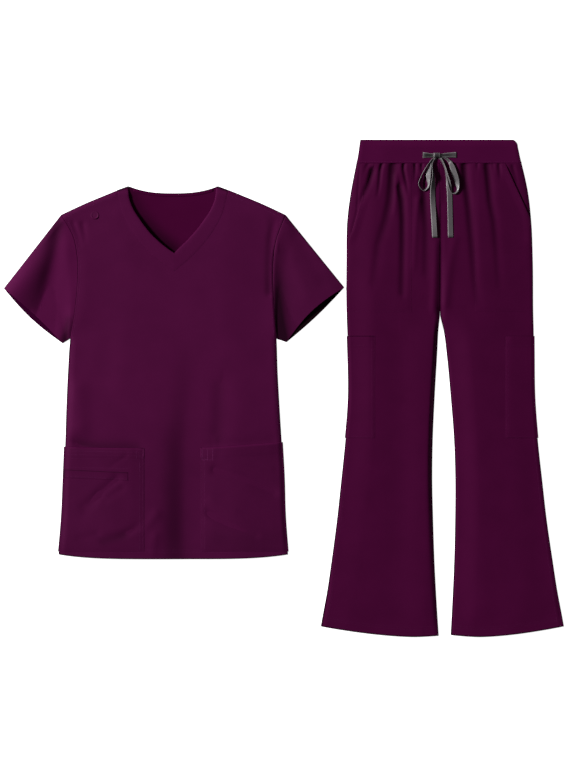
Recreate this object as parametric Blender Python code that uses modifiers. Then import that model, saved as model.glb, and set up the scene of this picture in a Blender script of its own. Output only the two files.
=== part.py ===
"""Medical scrubs laid flat: a V-neck top with its trousers beside it.

Tables and sizes are in millimetres. Each garment has its own flat frame: x runs across it from its
centre line and down runs towards its hem, from the shoulders on the top and from the waist on the
trousers. The cloth lies in two layers on z = 0: flat backs below, lofted fronts above.
"""
import math
from collections import namedtuple

import bmesh
import bpy
import numpy as np
from mathutils import Vector

MM = 0.001
CLOTH = 1.2              # thickness of every cloth wall
SEAM = 0.3               # clearance that parts two sewn pieces
FRONT = CLOTH + SEAM     # underside of the front layer where it touches the back

Garment = namedtuple("Garment", "centre_x top_y")
TOP = Garment(-215.4, 393.9)
TROUSERS = Garment(304.7, 484.6)

WINE = (0.066, 0.007, 0.036)
WINE_DARK = (0.048, 0.004, 0.026)
TAPE_GREY = (0.095, 0.087, 0.092)


# ---- scene, materials and the smooth functions that the tables feed ----------------------------

for leftover in list(bpy.data.objects):
    bpy.data.objects.remove(leftover, do_unlink=True)

scrubs = bpy.data.collections.new("medical_scrubs")
bpy.context.scene.collection.children.link(scrubs)


def make_material(name, colour, roughness):
    material = bpy.data.materials.new(name)
    material.use_nodes = True
    shader = material.node_tree.nodes["Principled BSDF"]
    shader.inputs["Base Color"].default_value = (*colour, 1.0)
    shader.inputs["Roughness"].default_value = roughness
    shader.inputs["Metallic"].default_value = 0.0
    return material


body_cloth = make_material("wine_twill", WINE, 0.82)
trim_cloth = make_material("wine_trim", WINE_DARK, 0.85)
drawstring_tape = make_material("grey_tape", TAPE_GREY, 0.6)
snap_plastic = make_material("wine_snap", WINE_DARK, 0.35)


def add_object(name, data, material):
    made = bpy.data.objects.new(name, data)
    data.materials.append(material)
    scrubs.objects.link(made)
    return made


def world(garment, x, down, z):
    """A point of a garment's flat frame, in the part's frame in metres."""
    return Vector(((garment.centre_x + x) * MM, (garment.top_y - down) * MM, z * MM))


def rise(distance, reach):
    """0 at an edge, 1 from reach on, with no corner at either end."""
    t = min(max(distance / reach, 0.0), 1.0)
    return t * t * (3.0 - 2.0 * t)


def smooth(rows, column, down):
    """Value of one column at down, on a cubic curve through the table's rows."""
    downs = np.array([row.down for row in rows], dtype=float)
    values = np.array([getattr(row, column) for row in rows], dtype=float)
    slopes = np.gradient(values, downs)
    down = min(max(down, downs[0]), downs[-1])
    i = min(int(np.searchsorted(downs, down, side="right")) - 1, len(downs) - 2)
    span = downs[i + 1] - downs[i]
    t = (down - downs[i]) / span
    start = (2 * t ** 3 - 3 * t ** 2 + 1) * values[i] + (t ** 3 - 2 * t ** 2 + t) * span * slopes[i]
    end = (3 * t ** 2 - 2 * t ** 3) * values[i + 1] + (t ** 3 - t ** 2) * span * slopes[i + 1]
    return float(start + end)


# A fold is a soft ridge, or a trough where its heights are negative, along a route of
# (x, down) points; its height changes evenly from the route's start to its end.
Fold = namedtuple("Fold", "route width height end_height")


def nearest_on_route(route, x, down):
    """Distance from a point to a route, and how far along the route it lies, from 0 to 1."""
    point = Vector((x, down))
    nearest = None
    for i, (start, end) in enumerate(zip(route, route[1:])):
        start = Vector(start)
        run = Vector(end) - start
        share = min(max((point - start).dot(run) / run.length_squared, 0.0), 1.0)
        off = (point - start - run * share).length
        if nearest is None or off < nearest[0]:
            nearest = (off, (i + share) / (len(route) - 1))
    return nearest


def fold_heights(folds, x, down):
    total = 0.0
    for fold in folds:
        off, along = nearest_on_route(fold.route, x, down)
        height = fold.height + (fold.end_height - fold.height) * along
        total += height * math.exp(-(off / fold.width) ** 2)
    return total


# ---- cloth pieces: lofted walls, patches cut from them, flat plates and flattened tubes ---------

def surface_from_rows(garment, strips, height):
    """An open surface through strips of rows of (x, down) points, raised by the height function.

    Points that two strips share are one point of the surface, so the strips join there.
    """
    surface = bmesh.new()
    made = {}

    def vertex(x, down):
        key = (round(x, 4), round(down, 4))
        if key not in made:
            made[key] = surface.verts.new(world(garment, x, down, FRONT + height(x, down)))
        return made[key]

    for rows in strips:
        grid = [[vertex(*point) for point in row] for row in rows]
        for upper, lower in zip(grid, grid[1:]):
            for i in range(len(upper) - 1):
                surface.faces.new([upper[i], lower[i], lower[i + 1], upper[i + 1]])
    bmesh.ops.triangulate(surface, faces=surface.faces[:])
    return surface


def wall_from_surface(name, surface, material, thickness=CLOTH):
    """Close an open surface into a wall, with its upper side straight above the lower one."""
    lower = surface.verts[:]
    faces = surface.faces[:]
    rim = [edge for edge in surface.edges if edge.is_boundary]
    above = {vert: surface.verts.new(vert.co + Vector((0.0, 0.0, thickness * MM))) for vert in lower}
    for face in faces:
        surface.faces.new([above[vert] for vert in face.verts])
    for edge in rim:
        start = edge.link_loops[0].vert
        end = edge.other_vert(start)
        surface.faces.new([start, end, above[end], above[start]])
    for face in faces:
        face.normal_flip()
    mesh = bpy.data.meshes.new(name)
    surface.to_mesh(mesh)
    surface.free()
    return add_object(name, mesh, material)


def patch_surface(surface, garment, cuts, lift, overhang=None):
    """Copy a surface, keep what lies left of each cut and move it out by lift millimetres.

    A cut is a pair of (x, down) points; seen from above, the kept side is on its left hand.
    overhang is (edge function, amount): points on that edge move out past the panel's side.
    """
    patch = surface.copy()
    for start, end in cuts:
        origin = world(garment, *start, 0.0)
        along = world(garment, *end, 0.0) - origin
        away = Vector((along.y, -along.x, 0.0)).normalized()
        everything = patch.verts[:] + patch.edges[:] + patch.faces[:]
        bmesh.ops.bisect_plane(patch, geom=everything, plane_co=origin, plane_no=away,
                               clear_outer=True)
    bmesh.ops.triangulate(patch, faces=patch.faces[:])
    for vert in patch.verts:
        vert.co.z += lift * MM
    if overhang:
        edge, amount = overhang
        for vert in patch.verts:
            x = vert.co.x / MM - garment.centre_x
            down = garment.top_y - vert.co.y / MM
            if abs(x - edge(down)) < 1.0:
                vert.co.x += amount * MM
    return patch


def flat_plate(name, garment, outline, z, thickness, material):
    """A flat cut of cloth: a filled outline with half its thickness to either side."""
    curve = bpy.data.curves.new(name, "CURVE")
    curve.dimensions = "2D"
    curve.fill_mode = "BOTH"
    curve.extrude = thickness * MM / 2.0
    spline = curve.splines.new("POLY")
    spline.points.add(len(outline) - 1)
    for point, (x, down) in zip(spline.points, outline):
        point.co = (*world(garment, x, down, 0.0).xy, 0.0, 1.0)
    spline.use_cyclic_u = True
    plate = add_object(name, curve, material)
    plate.location.z = (z + thickness / 2.0) * MM
    return plate


def flat_tube(name, garment, sections, material):
    """A flattened tube of cloth through sections of back and front points across it.

    Each section is (back, front): lists of (x, down) and (x, down, height), side by side.
    """
    tube = bmesh.new()
    rings = []
    for back, front in sections:
        across = (Vector(back[-1]) - Vector(back[0])).normalized() * CLOTH
        last = len(back) - 1
        inset = [across * ((i == 0) - (i == last)) for i in range(last + 1)]
        outer = [(x, down, 0.0) for x, down in back]
        outer += [(x, down, FRONT + height + CLOTH) for x, down, height in reversed(front)]
        inner = [(x + d.x, down + d.y, CLOTH) for (x, down), d in zip(back, inset)]
        inner += [(x + d.x, down + d.y, FRONT + height)
                  for (x, down, height), d in zip(reversed(front), reversed(inset))]
        rings.append([[tube.verts.new(world(garment, *point)) for point in ring]
                      for ring in (outer, inner)])
    count = len(rings[0][0])
    for (outer, inner), (next_outer, next_inner) in zip(rings, rings[1:]):
        for i in range(count):
            j = (i + 1) % count
            tube.faces.new([outer[i], outer[j], next_outer[j], next_outer[i]])
            tube.faces.new([inner[i], next_inner[i], next_inner[j], inner[j]])
    for outer, inner in (rings[0], rings[-1]):
        for i in range(count):
            j = (i + 1) % count
            tube.faces.new([outer[j], outer[i], inner[i], inner[j]])
    bmesh.ops.recalc_face_normals(tube, faces=tube.faces[:])
    bmesh.ops.triangulate(tube, faces=tube.faces[:])
    mesh = bpy.data.meshes.new(name)
    tube.to_mesh(mesh)
    tube.free()
    return add_object(name, mesh, material)


# ---- the top: outline --------------------------------------------------------------------------

ShoulderRow = namedtuple("ShoulderRow", "down half")
SHOULDERS = [
    ShoulderRow(8, 109), ShoulderRow(20, 138.3), ShoulderRow(32, 167.5),
    ShoulderRow(44, 193.8), ShoulderRow(56, 218.8),
]

SideRow = namedtuple("SideRow", "down left right")
TOP_SIDES = [
    SideRow(56, -218.8, 218.8),
    SideRow(78, -204.5, 210.0),
    SideRow(100, -194.0, 202.0),
    SideRow(122, -189.0, 197.2),
    SideRow(144, -186.3, 195.2),
    SideRow(166, -185.8, 194.4),
    SideRow(210, -188.2, 195.4),
    SideRow(254, -193.5, 198.0),
    SideRow(298, -201.1, 201.3),
    SideRow(360, -205.5, 203.4),
    SideRow(420, -208.3, 206.6),
    SideRow(500, -210.9, 211.4),
    SideRow(570, -213.7, 215.2),
    SideRow(640, -216.7, 217.2),
    SideRow(728, -224.1, 223.8),
]

NeckRow = namedtuple("NeckRow", "down half inner_down inner_half centre")
NECK_BAND = [
    NeckRow(8, 108, 0, 86, -2.2), NeckRow(32, 103.5, 24, 83.5, -2.2),
    NeckRow(56, 96.3, 45, 75.5, -2.2), NeckRow(78, 85.2, 64, 63.6, -2.2),
    NeckRow(100, 70.7, 84, 49, -2.2), NeckRow(122, 52.2, 101, 33.7, -2.0),
    NeckRow(144, 29.2, 117, 16.4, -0.9), NeckRow(166, 0, 131, 0, 1.5),
]
NECK_CENTRE = 1.5        # the V's point lies this far right of the centre line
NECK_POINT = 166         # down to the point of the V, outside the band
BACK_NECK_DIP = 13.8
BACK_NECK_HALF = 87.0
BACK_BINDING = 6.5       # width of the binding that shows along the back neck

SHOULDER_POINT = 56
UNDERARM = 298
TOP_HEM = 728
TOP_HEM_RISE = 8.6       # the hem's ends lie this much higher than its middle
TOP_HALF = 220.0

SHOULDER_ROWS = [8, 20, 32, 44, 56]
ARMHOLE_ROWS = [56 + 22 * i for i in range(12)]
BODY_ROWS = [298 + (TOP_HEM - 298) * i / 15 for i in range(16)]
TOP_ROWS = SHOULDER_ROWS[:-1] + ARMHOLE_ROWS[:-1] + BODY_ROWS
HALF_COLUMNS = 10


def top_left(down):
    if down < SHOULDER_POINT:
        return -smooth(SHOULDERS, "half", down)
    return smooth(TOP_SIDES, "left", down)


def top_right(down):
    if down < SHOULDER_POINT:
        return smooth(SHOULDERS, "half", down)
    return smooth(TOP_SIDES, "right", down)


def top_hem_shift(x, down):
    """How far a row near the hem is drawn up at x, so that the rows end on the curved hem."""
    near_hem = rise(down - (TOP_HEM - 130.0), 130.0)
    return TOP_HEM_RISE * near_hem * abs(x / TOP_HALF) ** 4


def shoulder_down(x):
    halves = [row.half for row in SHOULDERS]
    return float(np.interp(abs(x), halves, [row.down for row in SHOULDERS]))


# ---- the top: how the front stands off the back ------------------------------------------------

TOP_CROWN = 4.0
NECK_LIFT = 2.0
NECK_LIFT_REACH = 48.0
TOP_CREASES = [
    Fold([(26, 370), (10, 460), (6, 560), (4, 727)], 26, -0.8, -3.0),
    Fold([(-60, 470), (-45, 700)], 40, 1.4, 1.8),
    Fold([(60, 470), (52, 700)], 34, 1.6, 2.0),
    Fold([(-140, 240), (-185, 330)], 22, 0.6, 1.8),
    Fold([(140, 240), (185, 330)], 22, 0.6, 1.8),
    Fold([(-190, 650), (-110, 560)], 14, -1.6, -1.2),
    Fold([(70, 640), (160, 690)], 12, -1.8, -1.0),
    Fold([(90, 560), (195, 600)], 12, -1.2, -1.4),
]


def neck_edge_distance(x, down):
    """Distance from a point of the front to the inner edge of the V."""
    edges = [[(row.centre + side * row.inner_half, row.inner_down) for row in NECK_BAND]
             for side in (-1, 1)]
    return min(nearest_on_route(edge, x, down)[0] for edge in edges)


def top_height(x, down):
    from_side = min(x - top_left(down), top_right(down) - x)
    from_shoulder = down - shoulder_down(x)
    edge = rise(from_side, 42.0) * rise(from_shoulder + 3.0, 40.0)
    flat_hem = 0.35 + 0.65 * rise(TOP_HEM - down, 70.0)
    crown = TOP_CROWN + fold_heights(TOP_CREASES, x, down)
    along_neck = rise(down, 45.0) * (1.0 - 0.55 * rise(down - 105.0, 60.0))
    neck = NECK_LIFT * along_neck * (1.0 - rise(neck_edge_distance(x, down), NECK_LIFT_REACH))
    return max(edge * flat_hem * crown + neck, 0.0)


# ---- the top: front, back and neck bands -------------------------------------------------------

def top_front_row(down, side):
    """Points of one row from the side seam to the neck or, below it, to the centre line."""
    outer = top_left(down) if side < 0 else top_right(down)
    inner = NECK_CENTRE
    if down < NECK_POINT:
        inner = smooth(NECK_BAND, "centre", down) + side * (smooth(NECK_BAND, "half", down) + SEAM)
        if side * (outer - inner) < 2.0:
            outer = inner + side * 2.0
    row = []
    for i in range(HALF_COLUMNS + 1):
        x = outer + (inner - outer) * i / HALF_COLUMNS
        row.append((x, down - top_hem_shift(x, down)))
    return row if side < 0 else row[::-1]


halves = [[top_front_row(down, side) for down in TOP_ROWS] for side in (-1, 1)]
top_front_surface = surface_from_rows(TOP, halves, top_height)
wall_from_surface("top_front", top_front_surface.copy(), body_cloth)


def back_neck_down(x):
    return BACK_NECK_DIP * (1.0 - min(abs(x) / BACK_NECK_HALF, 1.0) ** 2.6)


back_neck = [-BACK_NECK_HALF + BACK_NECK_HALF * i / 8.0 for i in range(17)]
side_rows = SHOULDER_ROWS[:-1] + ARMHOLE_ROWS[:-1] + BODY_ROWS[::3]
hem_points = [-1.0 + i / 6.0 for i in range(1, 12)]

back_outline = [(top_left(down), down - top_hem_shift(top_left(down), down)) for down in side_rows]
for share in hem_points:
    hem_x = share * TOP_HALF
    back_outline.append((hem_x, TOP_HEM - top_hem_shift(hem_x, TOP_HEM)))
for down in reversed(side_rows):
    back_outline.append((top_right(down), down - top_hem_shift(top_right(down), down)))
for x in reversed(back_neck):
    back_outline.append((x, back_neck_down(x)))
flat_plate("top_back", TOP, back_outline, 0.0, CLOTH, body_cloth)

binding_upper = [(x, back_neck_down(x) + 0.4) for x in back_neck[1:-1]]
binding_lower = [(x, down + BACK_BINDING) for x, down in reversed(binding_upper)]
flat_plate("neckband_back", TOP, binding_upper + binding_lower, FRONT, 0.9, trim_cloth)


def neck_band(name, side):
    """Half of the V's band: strips of three points from its seam to its folded edge."""
    rows = []
    for down in [row for row in TOP_ROWS if row <= NECK_POINT]:
        outer = Vector((smooth(NECK_BAND, "half", down), down - SEAM))
        inner = Vector((smooth(NECK_BAND, "inner_half", down), smooth(NECK_BAND, "inner_down", down)))
        row = []
        for share in (0.0, 0.5, 1.0):
            point = outer.lerp(inner, share)
            x = smooth(NECK_BAND, "centre", down) + side * max(point.x, SEAM / 2.0)
            row.append((x, point.y))
        rows.append(row if side < 0 else row[::-1])
    wall_from_surface(name, surface_from_rows(TOP, [rows], top_height), trim_cloth)


neck_band("neckband_left", -1)
neck_band("neckband_right", 1)


# ---- the top: sleeves --------------------------------------------------------------------------

Cuff = namedtuple("Cuff", "tip_x tip_down corner_x corner_down back_bow front_bow")
LEFT_CUFF = Cuff(-331.0, 199.4, -216.0, 306.9, 6.5, -3.5)
RIGHT_CUFF = Cuff(333.6, 197.6, 220.4, 304.8, 3.4, -7.0)
SLEEVE_RINGS = 7
SLEEVE_ARCH = 12.5       # how high the front of the open cuff stands at its middle
SLEEVE_FOLDS = {
    -1: [Fold([(-228, 85), (-272, 185)], 13, -4.0, -3.0),
         Fold([(-214, 100), (-222, 215)], 10, 1.6, 2.2)],
    1: [Fold([(230, 100), (262, 200)], 13, -2.4, -1.6),
        Fold([(222, 215), (250, 262)], 14, -2.0, -2.0)],
}


def sleeve(name, side, cuff):
    """A short sleeve from the armhole to its cuff, whose front hem stands off the back one."""
    downs = ARMHOLE_ROWS[::-1]
    armhole = [Vector(((top_left(d) if side < 0 else top_right(d)) + side * SEAM, d)) for d in downs]
    corner = Vector((cuff.corner_x, cuff.corner_down))
    tip = Vector((cuff.tip_x, cuff.tip_down))
    hem = tip - corner
    outwards = Vector((-abs(hem.y) * -side, abs(hem.x))).normalized()
    sections = []
    for ring in range(SLEEVE_RINGS + 1):
        along = ring / SLEEVE_RINGS
        back = []
        front = []
        for i, start in enumerate(armhole):
            share = i / (len(armhole) - 1)
            bow = math.sin(math.pi * share)
            straight = corner + hem * share
            back_point = start.lerp(straight + outwards * cuff.back_bow * bow, along)
            front_point = start.lerp(straight + outwards * cuff.front_bow * bow, along)
            arch = SLEEVE_ARCH * rise(along, 1.0) * bow ** 0.8
            folds = fold_heights(SLEEVE_FOLDS[side], front_point.x, front_point.y)
            loft = arch + folds * rise(along, 0.35) * bow
            back.append(tuple(back_point))
            front.append((front_point.x, front_point.y, max(loft, 0.0)))
        sections.append((back, front))
    flat_tube(name, TOP, sections, body_cloth)


sleeve("sleeve_left", -1, LEFT_CUFF)
sleeve("sleeve_right", 1, RIGHT_CUFF)


# ---- the top: patch pockets and the shoulder snap ----------------------------------------------

POCKET_OVERHANG = 2.4    # the pockets bulge past the side seams
LEFT_POCKET_INNER = -57.0
RIGHT_POCKET_INNER = 53.0
POCKET_BOTTOM = 713.0
FAR = 400.0

on_front = CLOTH + SEAM   # lift of a patch that lies on a panel

left_pocket = patch_surface(
    top_front_surface, TOP,
    cuts=[((LEFT_POCKET_INNER, 511.0), (-213.0, 508.6)),
          ((LEFT_POCKET_INNER, FAR), (LEFT_POCKET_INNER, 0.0)),
          ((-FAR, POCKET_BOTTOM), (FAR, POCKET_BOTTOM))],
    lift=on_front, overhang=(top_left, -POCKET_OVERHANG))
left_welt = patch_surface(
    left_pocket, TOP,
    cuts=[((-88.0, 558.5), (-213.0, 552.8)),
          ((-88.0, FAR), (-88.0, 0.0)),
          ((-213.0, 570.0), (-88.0, 575.0))],
    lift=on_front)
right_pocket = patch_surface(
    top_front_surface, TOP,
    cuts=[((210.0, 499.5), (RIGHT_POCKET_INNER, 510.5)),
          ((RIGHT_POCKET_INNER, 0.0), (RIGHT_POCKET_INNER, FAR)),
          ((-FAR, POCKET_BOTTOM), (FAR, POCKET_BOTTOM))],
    lift=on_front, overhang=(top_right, POCKET_OVERHANG))
wall_from_surface("pocket_left", left_pocket, body_cloth)
wall_from_surface("pocket_left_welt", left_welt, trim_cloth)
wall_from_surface("pocket_right", right_pocket, body_cloth)

SNAP_X = -153.0
SNAP_DOWN = 57.0
SNAP_RADIUS = 8.0
SNAP_HEIGHT = 1.4


def shoulder_snap():
    ring = [(SNAP_X + SNAP_RADIUS * math.cos(a), SNAP_DOWN + SNAP_RADIUS * math.sin(a))
            for a in np.linspace(0.0, 2.0 * math.pi, 12)]
    highest = max(top_height(x, down) for x, down in ring)
    seat = FRONT + highest + CLOTH + SEAM
    snap = bmesh.new()
    bmesh.ops.create_cone(snap, cap_ends=True, segments=24, radius1=SNAP_RADIUS * MM,
                          radius2=SNAP_RADIUS * MM, depth=SNAP_HEIGHT * MM)
    mesh = bpy.data.meshes.new("shoulder_snap")
    snap.to_mesh(mesh)
    snap.free()
    made = add_object("shoulder_snap", mesh, snap_plastic)
    made.location = world(TOP, SNAP_X, SNAP_DOWN, seat + SNAP_HEIGHT / 2.0)
    bevel = made.modifiers.new("rounded_rim", "BEVEL")
    bevel.width = 0.5 * MM
    bevel.segments = 2


shoulder_snap()


# ---- the trousers: outline ---------------------------------------------------------------------

LegRow = namedtuple("LegRow", "down outer_left inner_left inner_right outer_right")
LEGS = [
    LegRow(46, -163.0, 0, 0, 159.3),
    LegRow(69, -167.6, 0, 0, 164.9),
    LegRow(98, -173.1, 0, 0, 171.0),
    LegRow(157, -180.8, 0, 0, 178.0),
    LegRow(235, -182.4, 0, 0, 181.2),
    LegRow(342, -182.1, 0, 0, 182.2),
    LegRow(371, -181.0, -3.0, 7.2, 182.9),
    LegRow(410, -179.6, -5.0, 12.3, 183.3),
    LegRow(508, -178.4, -10.6, 21.6, 184.9),
    LegRow(586, -184.5, -14.0, 27.6, 191.0),
    LegRow(664, -192.5, -15.0, 30.0, 199.5),
    LegRow(742, -200.9, -13.3, 29.6, 208.4),
    LegRow(820, -211.0, -10.8, 27.9, 219.6),
    LegRow(898, -220.9, -6.9, 24.6, 230.1),
    LegRow(970.5, -232.5, -2.4, 20.9, 242.0),
]
WaistRow = namedtuple("WaistRow", "down left right")
WAIST = [
    WaistRow(0, -155.4, 144.0), WaistRow(6, -156.5, 150.0), WaistRow(16, -157.8, 152.6),
    WaistRow(31, -160.0, 155.8), WaistRow(45.7, -162.9, 159.2),
]
WAIST_SEAM = 46
CROTCH = 342
TROUSER_HEM = 970.5
TROUSER_HEM_RISE = 21.0  # the outer end of each hem lies this much higher than its lowest point
HEM_LOWEST = {-1: -50.7, 1: 78.0}
HEM_REACH = {-1: 184.0, 1: 165.0}
LEG_ROWS = [46, 52, 60, 72, 88, 108, 132, 160, 192, 226, 262, 300, 342]
LEG_ROWS += [342 + (TROUSER_HEM - 342) * i / 14 for i in range(1, 15)]
LEG_COLUMNS = 24


def leg_outer(side, down):
    return smooth(LEGS, "outer_left" if side < 0 else "outer_right", down)


def leg_inner(side, down):
    if down <= CROTCH:
        return side * SEAM / 2.0
    below = [row for row in LEGS if row.down >= CROTCH]
    inner = smooth(below, "inner_left" if side < 0 else "inner_right", down)
    return side * max(side * inner, SEAM / 2.0)


def leg_hem_shift(side, x, down):
    near_hem = rise(down - (TROUSER_HEM - 180.0), 180.0)
    away = abs(x - HEM_LOWEST[side]) / HEM_REACH[side]
    return TROUSER_HEM_RISE * near_hem * away ** 1.6


# ---- the trousers: gathers, creases and loft ---------------------------------------------------

LEG_CROWN = 5.0
WAIST_CROWN = 3.2
GATHERS = [
    Fold([(-134, 60), (-146, 85), (-154, 118)], 8, -3.4, -1.4),
    Fold([(-114, 48), (-118, 60), (-122, 106)], 6, -2.6, -0.6),
    Fold([(-94, 48), (-97, 89), (-105, 138), (-127, 210), (-135, 275)], 11, -3.2, -0.8),
    Fold([(-72, 48), (-65, 95)], 6, -2.6, -0.8),
    Fold([(-84, 80), (-76, 120), (-73, 176), (-76, 240), (-75, 322)], 9, -3.0, -0.8),
    Fold([(-51, 48), (-51, 84)], 6, -2.4, -0.6),
    Fold([(-35, 84), (-32, 143), (-27, 180), (-29, 245)], 9, -3.4, -1.0),
    Fold([(-14, 48), (-12, 120)], 6, -2.2, -0.6),
    Fold([(10, 48), (9, 150)], 7, -2.4, -0.6),
    Fold([(29, 48), (31, 95)], 6, -2.0, -0.4),
    Fold([(46, 48), (48, 85), (52, 135), (62, 210), (72, 310)], 10, -3.8, -0.8),
    Fold([(71, 48), (72, 66)], 7, -2.2, -0.4),
    Fold([(88, 48), (93, 95), (104, 162), (113, 265)], 9, -3.4, -0.6),
    Fold([(112, 48), (115, 74)], 7, -2.6, -0.4),
    Fold([(140, 52), (148, 84)], 7, -2.0, -0.8),
]
LEG_CREASES = [
    Fold([(0, 130), (0, 345)], 7, -0.6, -2.8),
    Fold([(-7, 215), (-12, 330)], 11, 0.6, 1.8),
    Fold([(28, 195), (18, 245), (10, 320)], 12, 0.8, 1.8),
    Fold([(-96, 380), (-100, 900)], 30, 1.2, 1.6),
    Fold([(104, 380), (118, 900)], 30, 1.2, 1.6),
]


def leg_height(side, x, down):
    from_outer = side * (leg_outer(side, down) - x)
    from_inner = side * (x - leg_inner(side, down))
    inner_edge = rise(from_inner, 42.0)
    parted = rise(down - (CROTCH - 40.0), 110.0)
    edge = rise(from_outer, 44.0) * (1.0 - parted * (1.0 - inner_edge))
    crown = WAIST_CROWN + (LEG_CROWN - WAIST_CROWN) * rise(down - WAIST_SEAM, 110.0)
    at_band = rise(down - WAIST_SEAM, 16.0)
    ease = 1.2 * at_band * (1.0 - rise(down - 150.0, 160.0))
    folds = fold_heights(GATHERS, x, down) * at_band + fold_heights(LEG_CREASES, x, down)
    flat_hem = 0.4 + 0.6 * rise(TROUSER_HEM - down, 80.0)
    return max(edge * flat_hem * (crown + ease + folds), 0.0)


# ---- the trousers: legs, pockets and waistband -------------------------------------------------

def leg_rows(side):
    rows = []
    for down in LEG_ROWS:
        outer = leg_outer(side, down)
        inner = leg_inner(side, down)
        row = []
        for i in range(LEG_COLUMNS + 1):
            x = outer + (inner - outer) * i / LEG_COLUMNS
            row.append((x, down - leg_hem_shift(side, x, down)))
        rows.append(row if side < 0 else row[::-1])
    return rows


HIP_CUTS = {
    -1: [((-132.6, 49.7), (-172.6, 180.4)),
         ((-55.6, FAR), (-55.6, 0.0)),
         ((-FAR, 336.4), (FAR, 336.4))],
    1: [((175.5, 151.1), (128.7, 49.7)),
        ((68.3, 0.0), (68.3, FAR)),
        ((-FAR, 335.8), (FAR, 335.8))],
}
CARGO_TOP = 383.0
CARGO_BOTTOM = 582.0
CARGO_INNER = 126.8
CARGO_OVERHANG = 1.6
SIDE_NAMES = {-1: "left", 1: "right"}


def leg(side):
    """Front and back of one leg, with the pockets that are stitched on its front."""
    name = SIDE_NAMES[side]
    rows = leg_rows(side)
    surface = surface_from_rows(TROUSERS, [rows], lambda x, down: leg_height(side, x, down))
    hip = patch_surface(surface, TROUSERS, HIP_CUTS[side], lift=on_front)
    inner_cut = ((side * CARGO_INNER, FAR), (side * CARGO_INNER, 0.0))
    cargo_cuts = [((FAR, CARGO_TOP), (-FAR, CARGO_TOP)),
                  inner_cut if side < 0 else inner_cut[::-1],
                  ((-FAR, CARGO_BOTTOM), (FAR, CARGO_BOTTOM))]
    cargo = patch_surface(surface, TROUSERS, cargo_cuts, lift=on_front,
                          overhang=(lambda down: leg_outer(side, down), side * CARGO_OVERHANG))
    wall_from_surface("leg_front_" + name, surface, body_cloth)
    wall_from_surface("hip_pocket_" + name, hip, body_cloth)
    wall_from_surface("cargo_pocket_" + name, cargo, body_cloth)

    left_edge = [row[0] for row in rows]
    right_edge = [row[-1] for row in rows]
    outline = left_edge[::2] + rows[-1][2:-1:2] + right_edge[::-2]
    flat_plate("leg_back_" + name, TROUSERS, outline, 0.0, CLOTH, body_cloth)


leg(-1)
leg(1)


def waist_height(x, down):
    from_side = min(x - smooth(WAIST, "left", down), smooth(WAIST, "right", down) - x)
    return WAIST_CROWN * rise(from_side, 44.0) * (0.2 + 0.8 * rise(down, 22.0))


def waistband():
    """The flat elastic band: a flattened tube whose lower edge meets the gathered cloth."""
    sections = []
    for row in WAIST:
        columns = [row.left + (row.right - row.left) * i / 16.0 for i in range(17)]
        back = [(x, row.down) for x in columns]
        front = [(x, row.down, waist_height(x, row.down)) for x in columns]
        sections.append((back, front))
    flat_tube("waistband", TROUSERS, sections, trim_cloth)


waistband()


# ---- the drawstring: flat tape tied in a bow, each stretch ending just short of the knot -------

TAPE_WIDTH = 9.8
TAPE_THICKNESS = 0.8
KNOT = (-4.9, 33.4)
KNOT_SIZE = (17.0, 13.5, 7.5)
TAPE_STEPS = 3           # pieces between two stations of a stretch of tape

# lift: how far the tape's lower edge stands above the cloth; turn: degrees from lying flat.
Station = namedtuple("Station", "x down lift turn")


def cloth_top(x, down):
    if down < WAIST_SEAM:
        return FRONT + waist_height(x, down) + CLOTH
    return FRONT + leg_height(-1 if x < 0 else 1, x, down) + CLOTH


def tape_stations(stations):
    """Stations on a smooth curve through the given ones."""
    keys = [Station(*station) for station in stations]
    columns = np.array(keys, dtype=float)
    slopes = np.gradient(columns, axis=0)
    path = []
    for i in range(len(keys) - 1):
        for step in range(TAPE_STEPS):
            t = step / TAPE_STEPS
            path.append((2 * t ** 3 - 3 * t ** 2 + 1) * columns[i]
                        + (t ** 3 - 2 * t ** 2 + t) * slopes[i]
                        + (3 * t ** 2 - 2 * t ** 3) * columns[i + 1]
                        + (t ** 3 - t ** 2) * slopes[i + 1])
    path.append(columns[-1])
    return [Station(*values) for values in path]


def tape(name, stations):
    """One stretch of the drawstring, swept flat or on edge along its stations."""
    path = tape_stations(stations)
    strip = bmesh.new()
    rings = []
    for i, station in enumerate(path):
        before = path[max(i - 1, 0)]
        after = path[min(i + 1, len(path) - 1)]
        along = Vector((after.x - before.x, before.down - after.down, 0.0)).normalized()
        beside = Vector((along.y, -along.x, 0.0))
        turn = math.radians(station.turn)
        width = beside * math.cos(turn) + Vector((0.0, 0.0, math.sin(turn)))
        depth = width.cross(along)
        reach = TAPE_WIDTH / 2.0
        spread = [reach * share * math.cos(turn) for share in (-1.0, -0.5, 0.0, 0.5, 1.0)]
        support = max(cloth_top(station.x + beside.x * s, station.down - beside.y * s) for s in spread)
        height = support + SEAM + station.lift + reach * abs(math.sin(turn)) + TAPE_THICKNESS / 2.0
        middle = world(TROUSERS, station.x, station.down, height)
        corners = []
        for w, d in ((-1, -1), (1, -1), (1, 1), (-1, 1)):
            corner = middle + (width * w * reach + depth * d * TAPE_THICKNESS / 2.0) * MM
            corners.append(strip.verts.new(corner))
        rings.append(corners)
    for ring, following in zip(rings, rings[1:]):
        for i in range(4):
            j = (i + 1) % 4
            strip.faces.new([ring[i], ring[j], following[j], following[i]])
    strip.faces.new(rings[0][::-1])
    strip.faces.new(rings[-1])
    bmesh.ops.recalc_face_normals(strip, faces=strip.faces[:])
    mesh = bpy.data.meshes.new(name)
    strip.to_mesh(mesh)
    strip.free()
    add_object(name, mesh, drawstring_tape)


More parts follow.
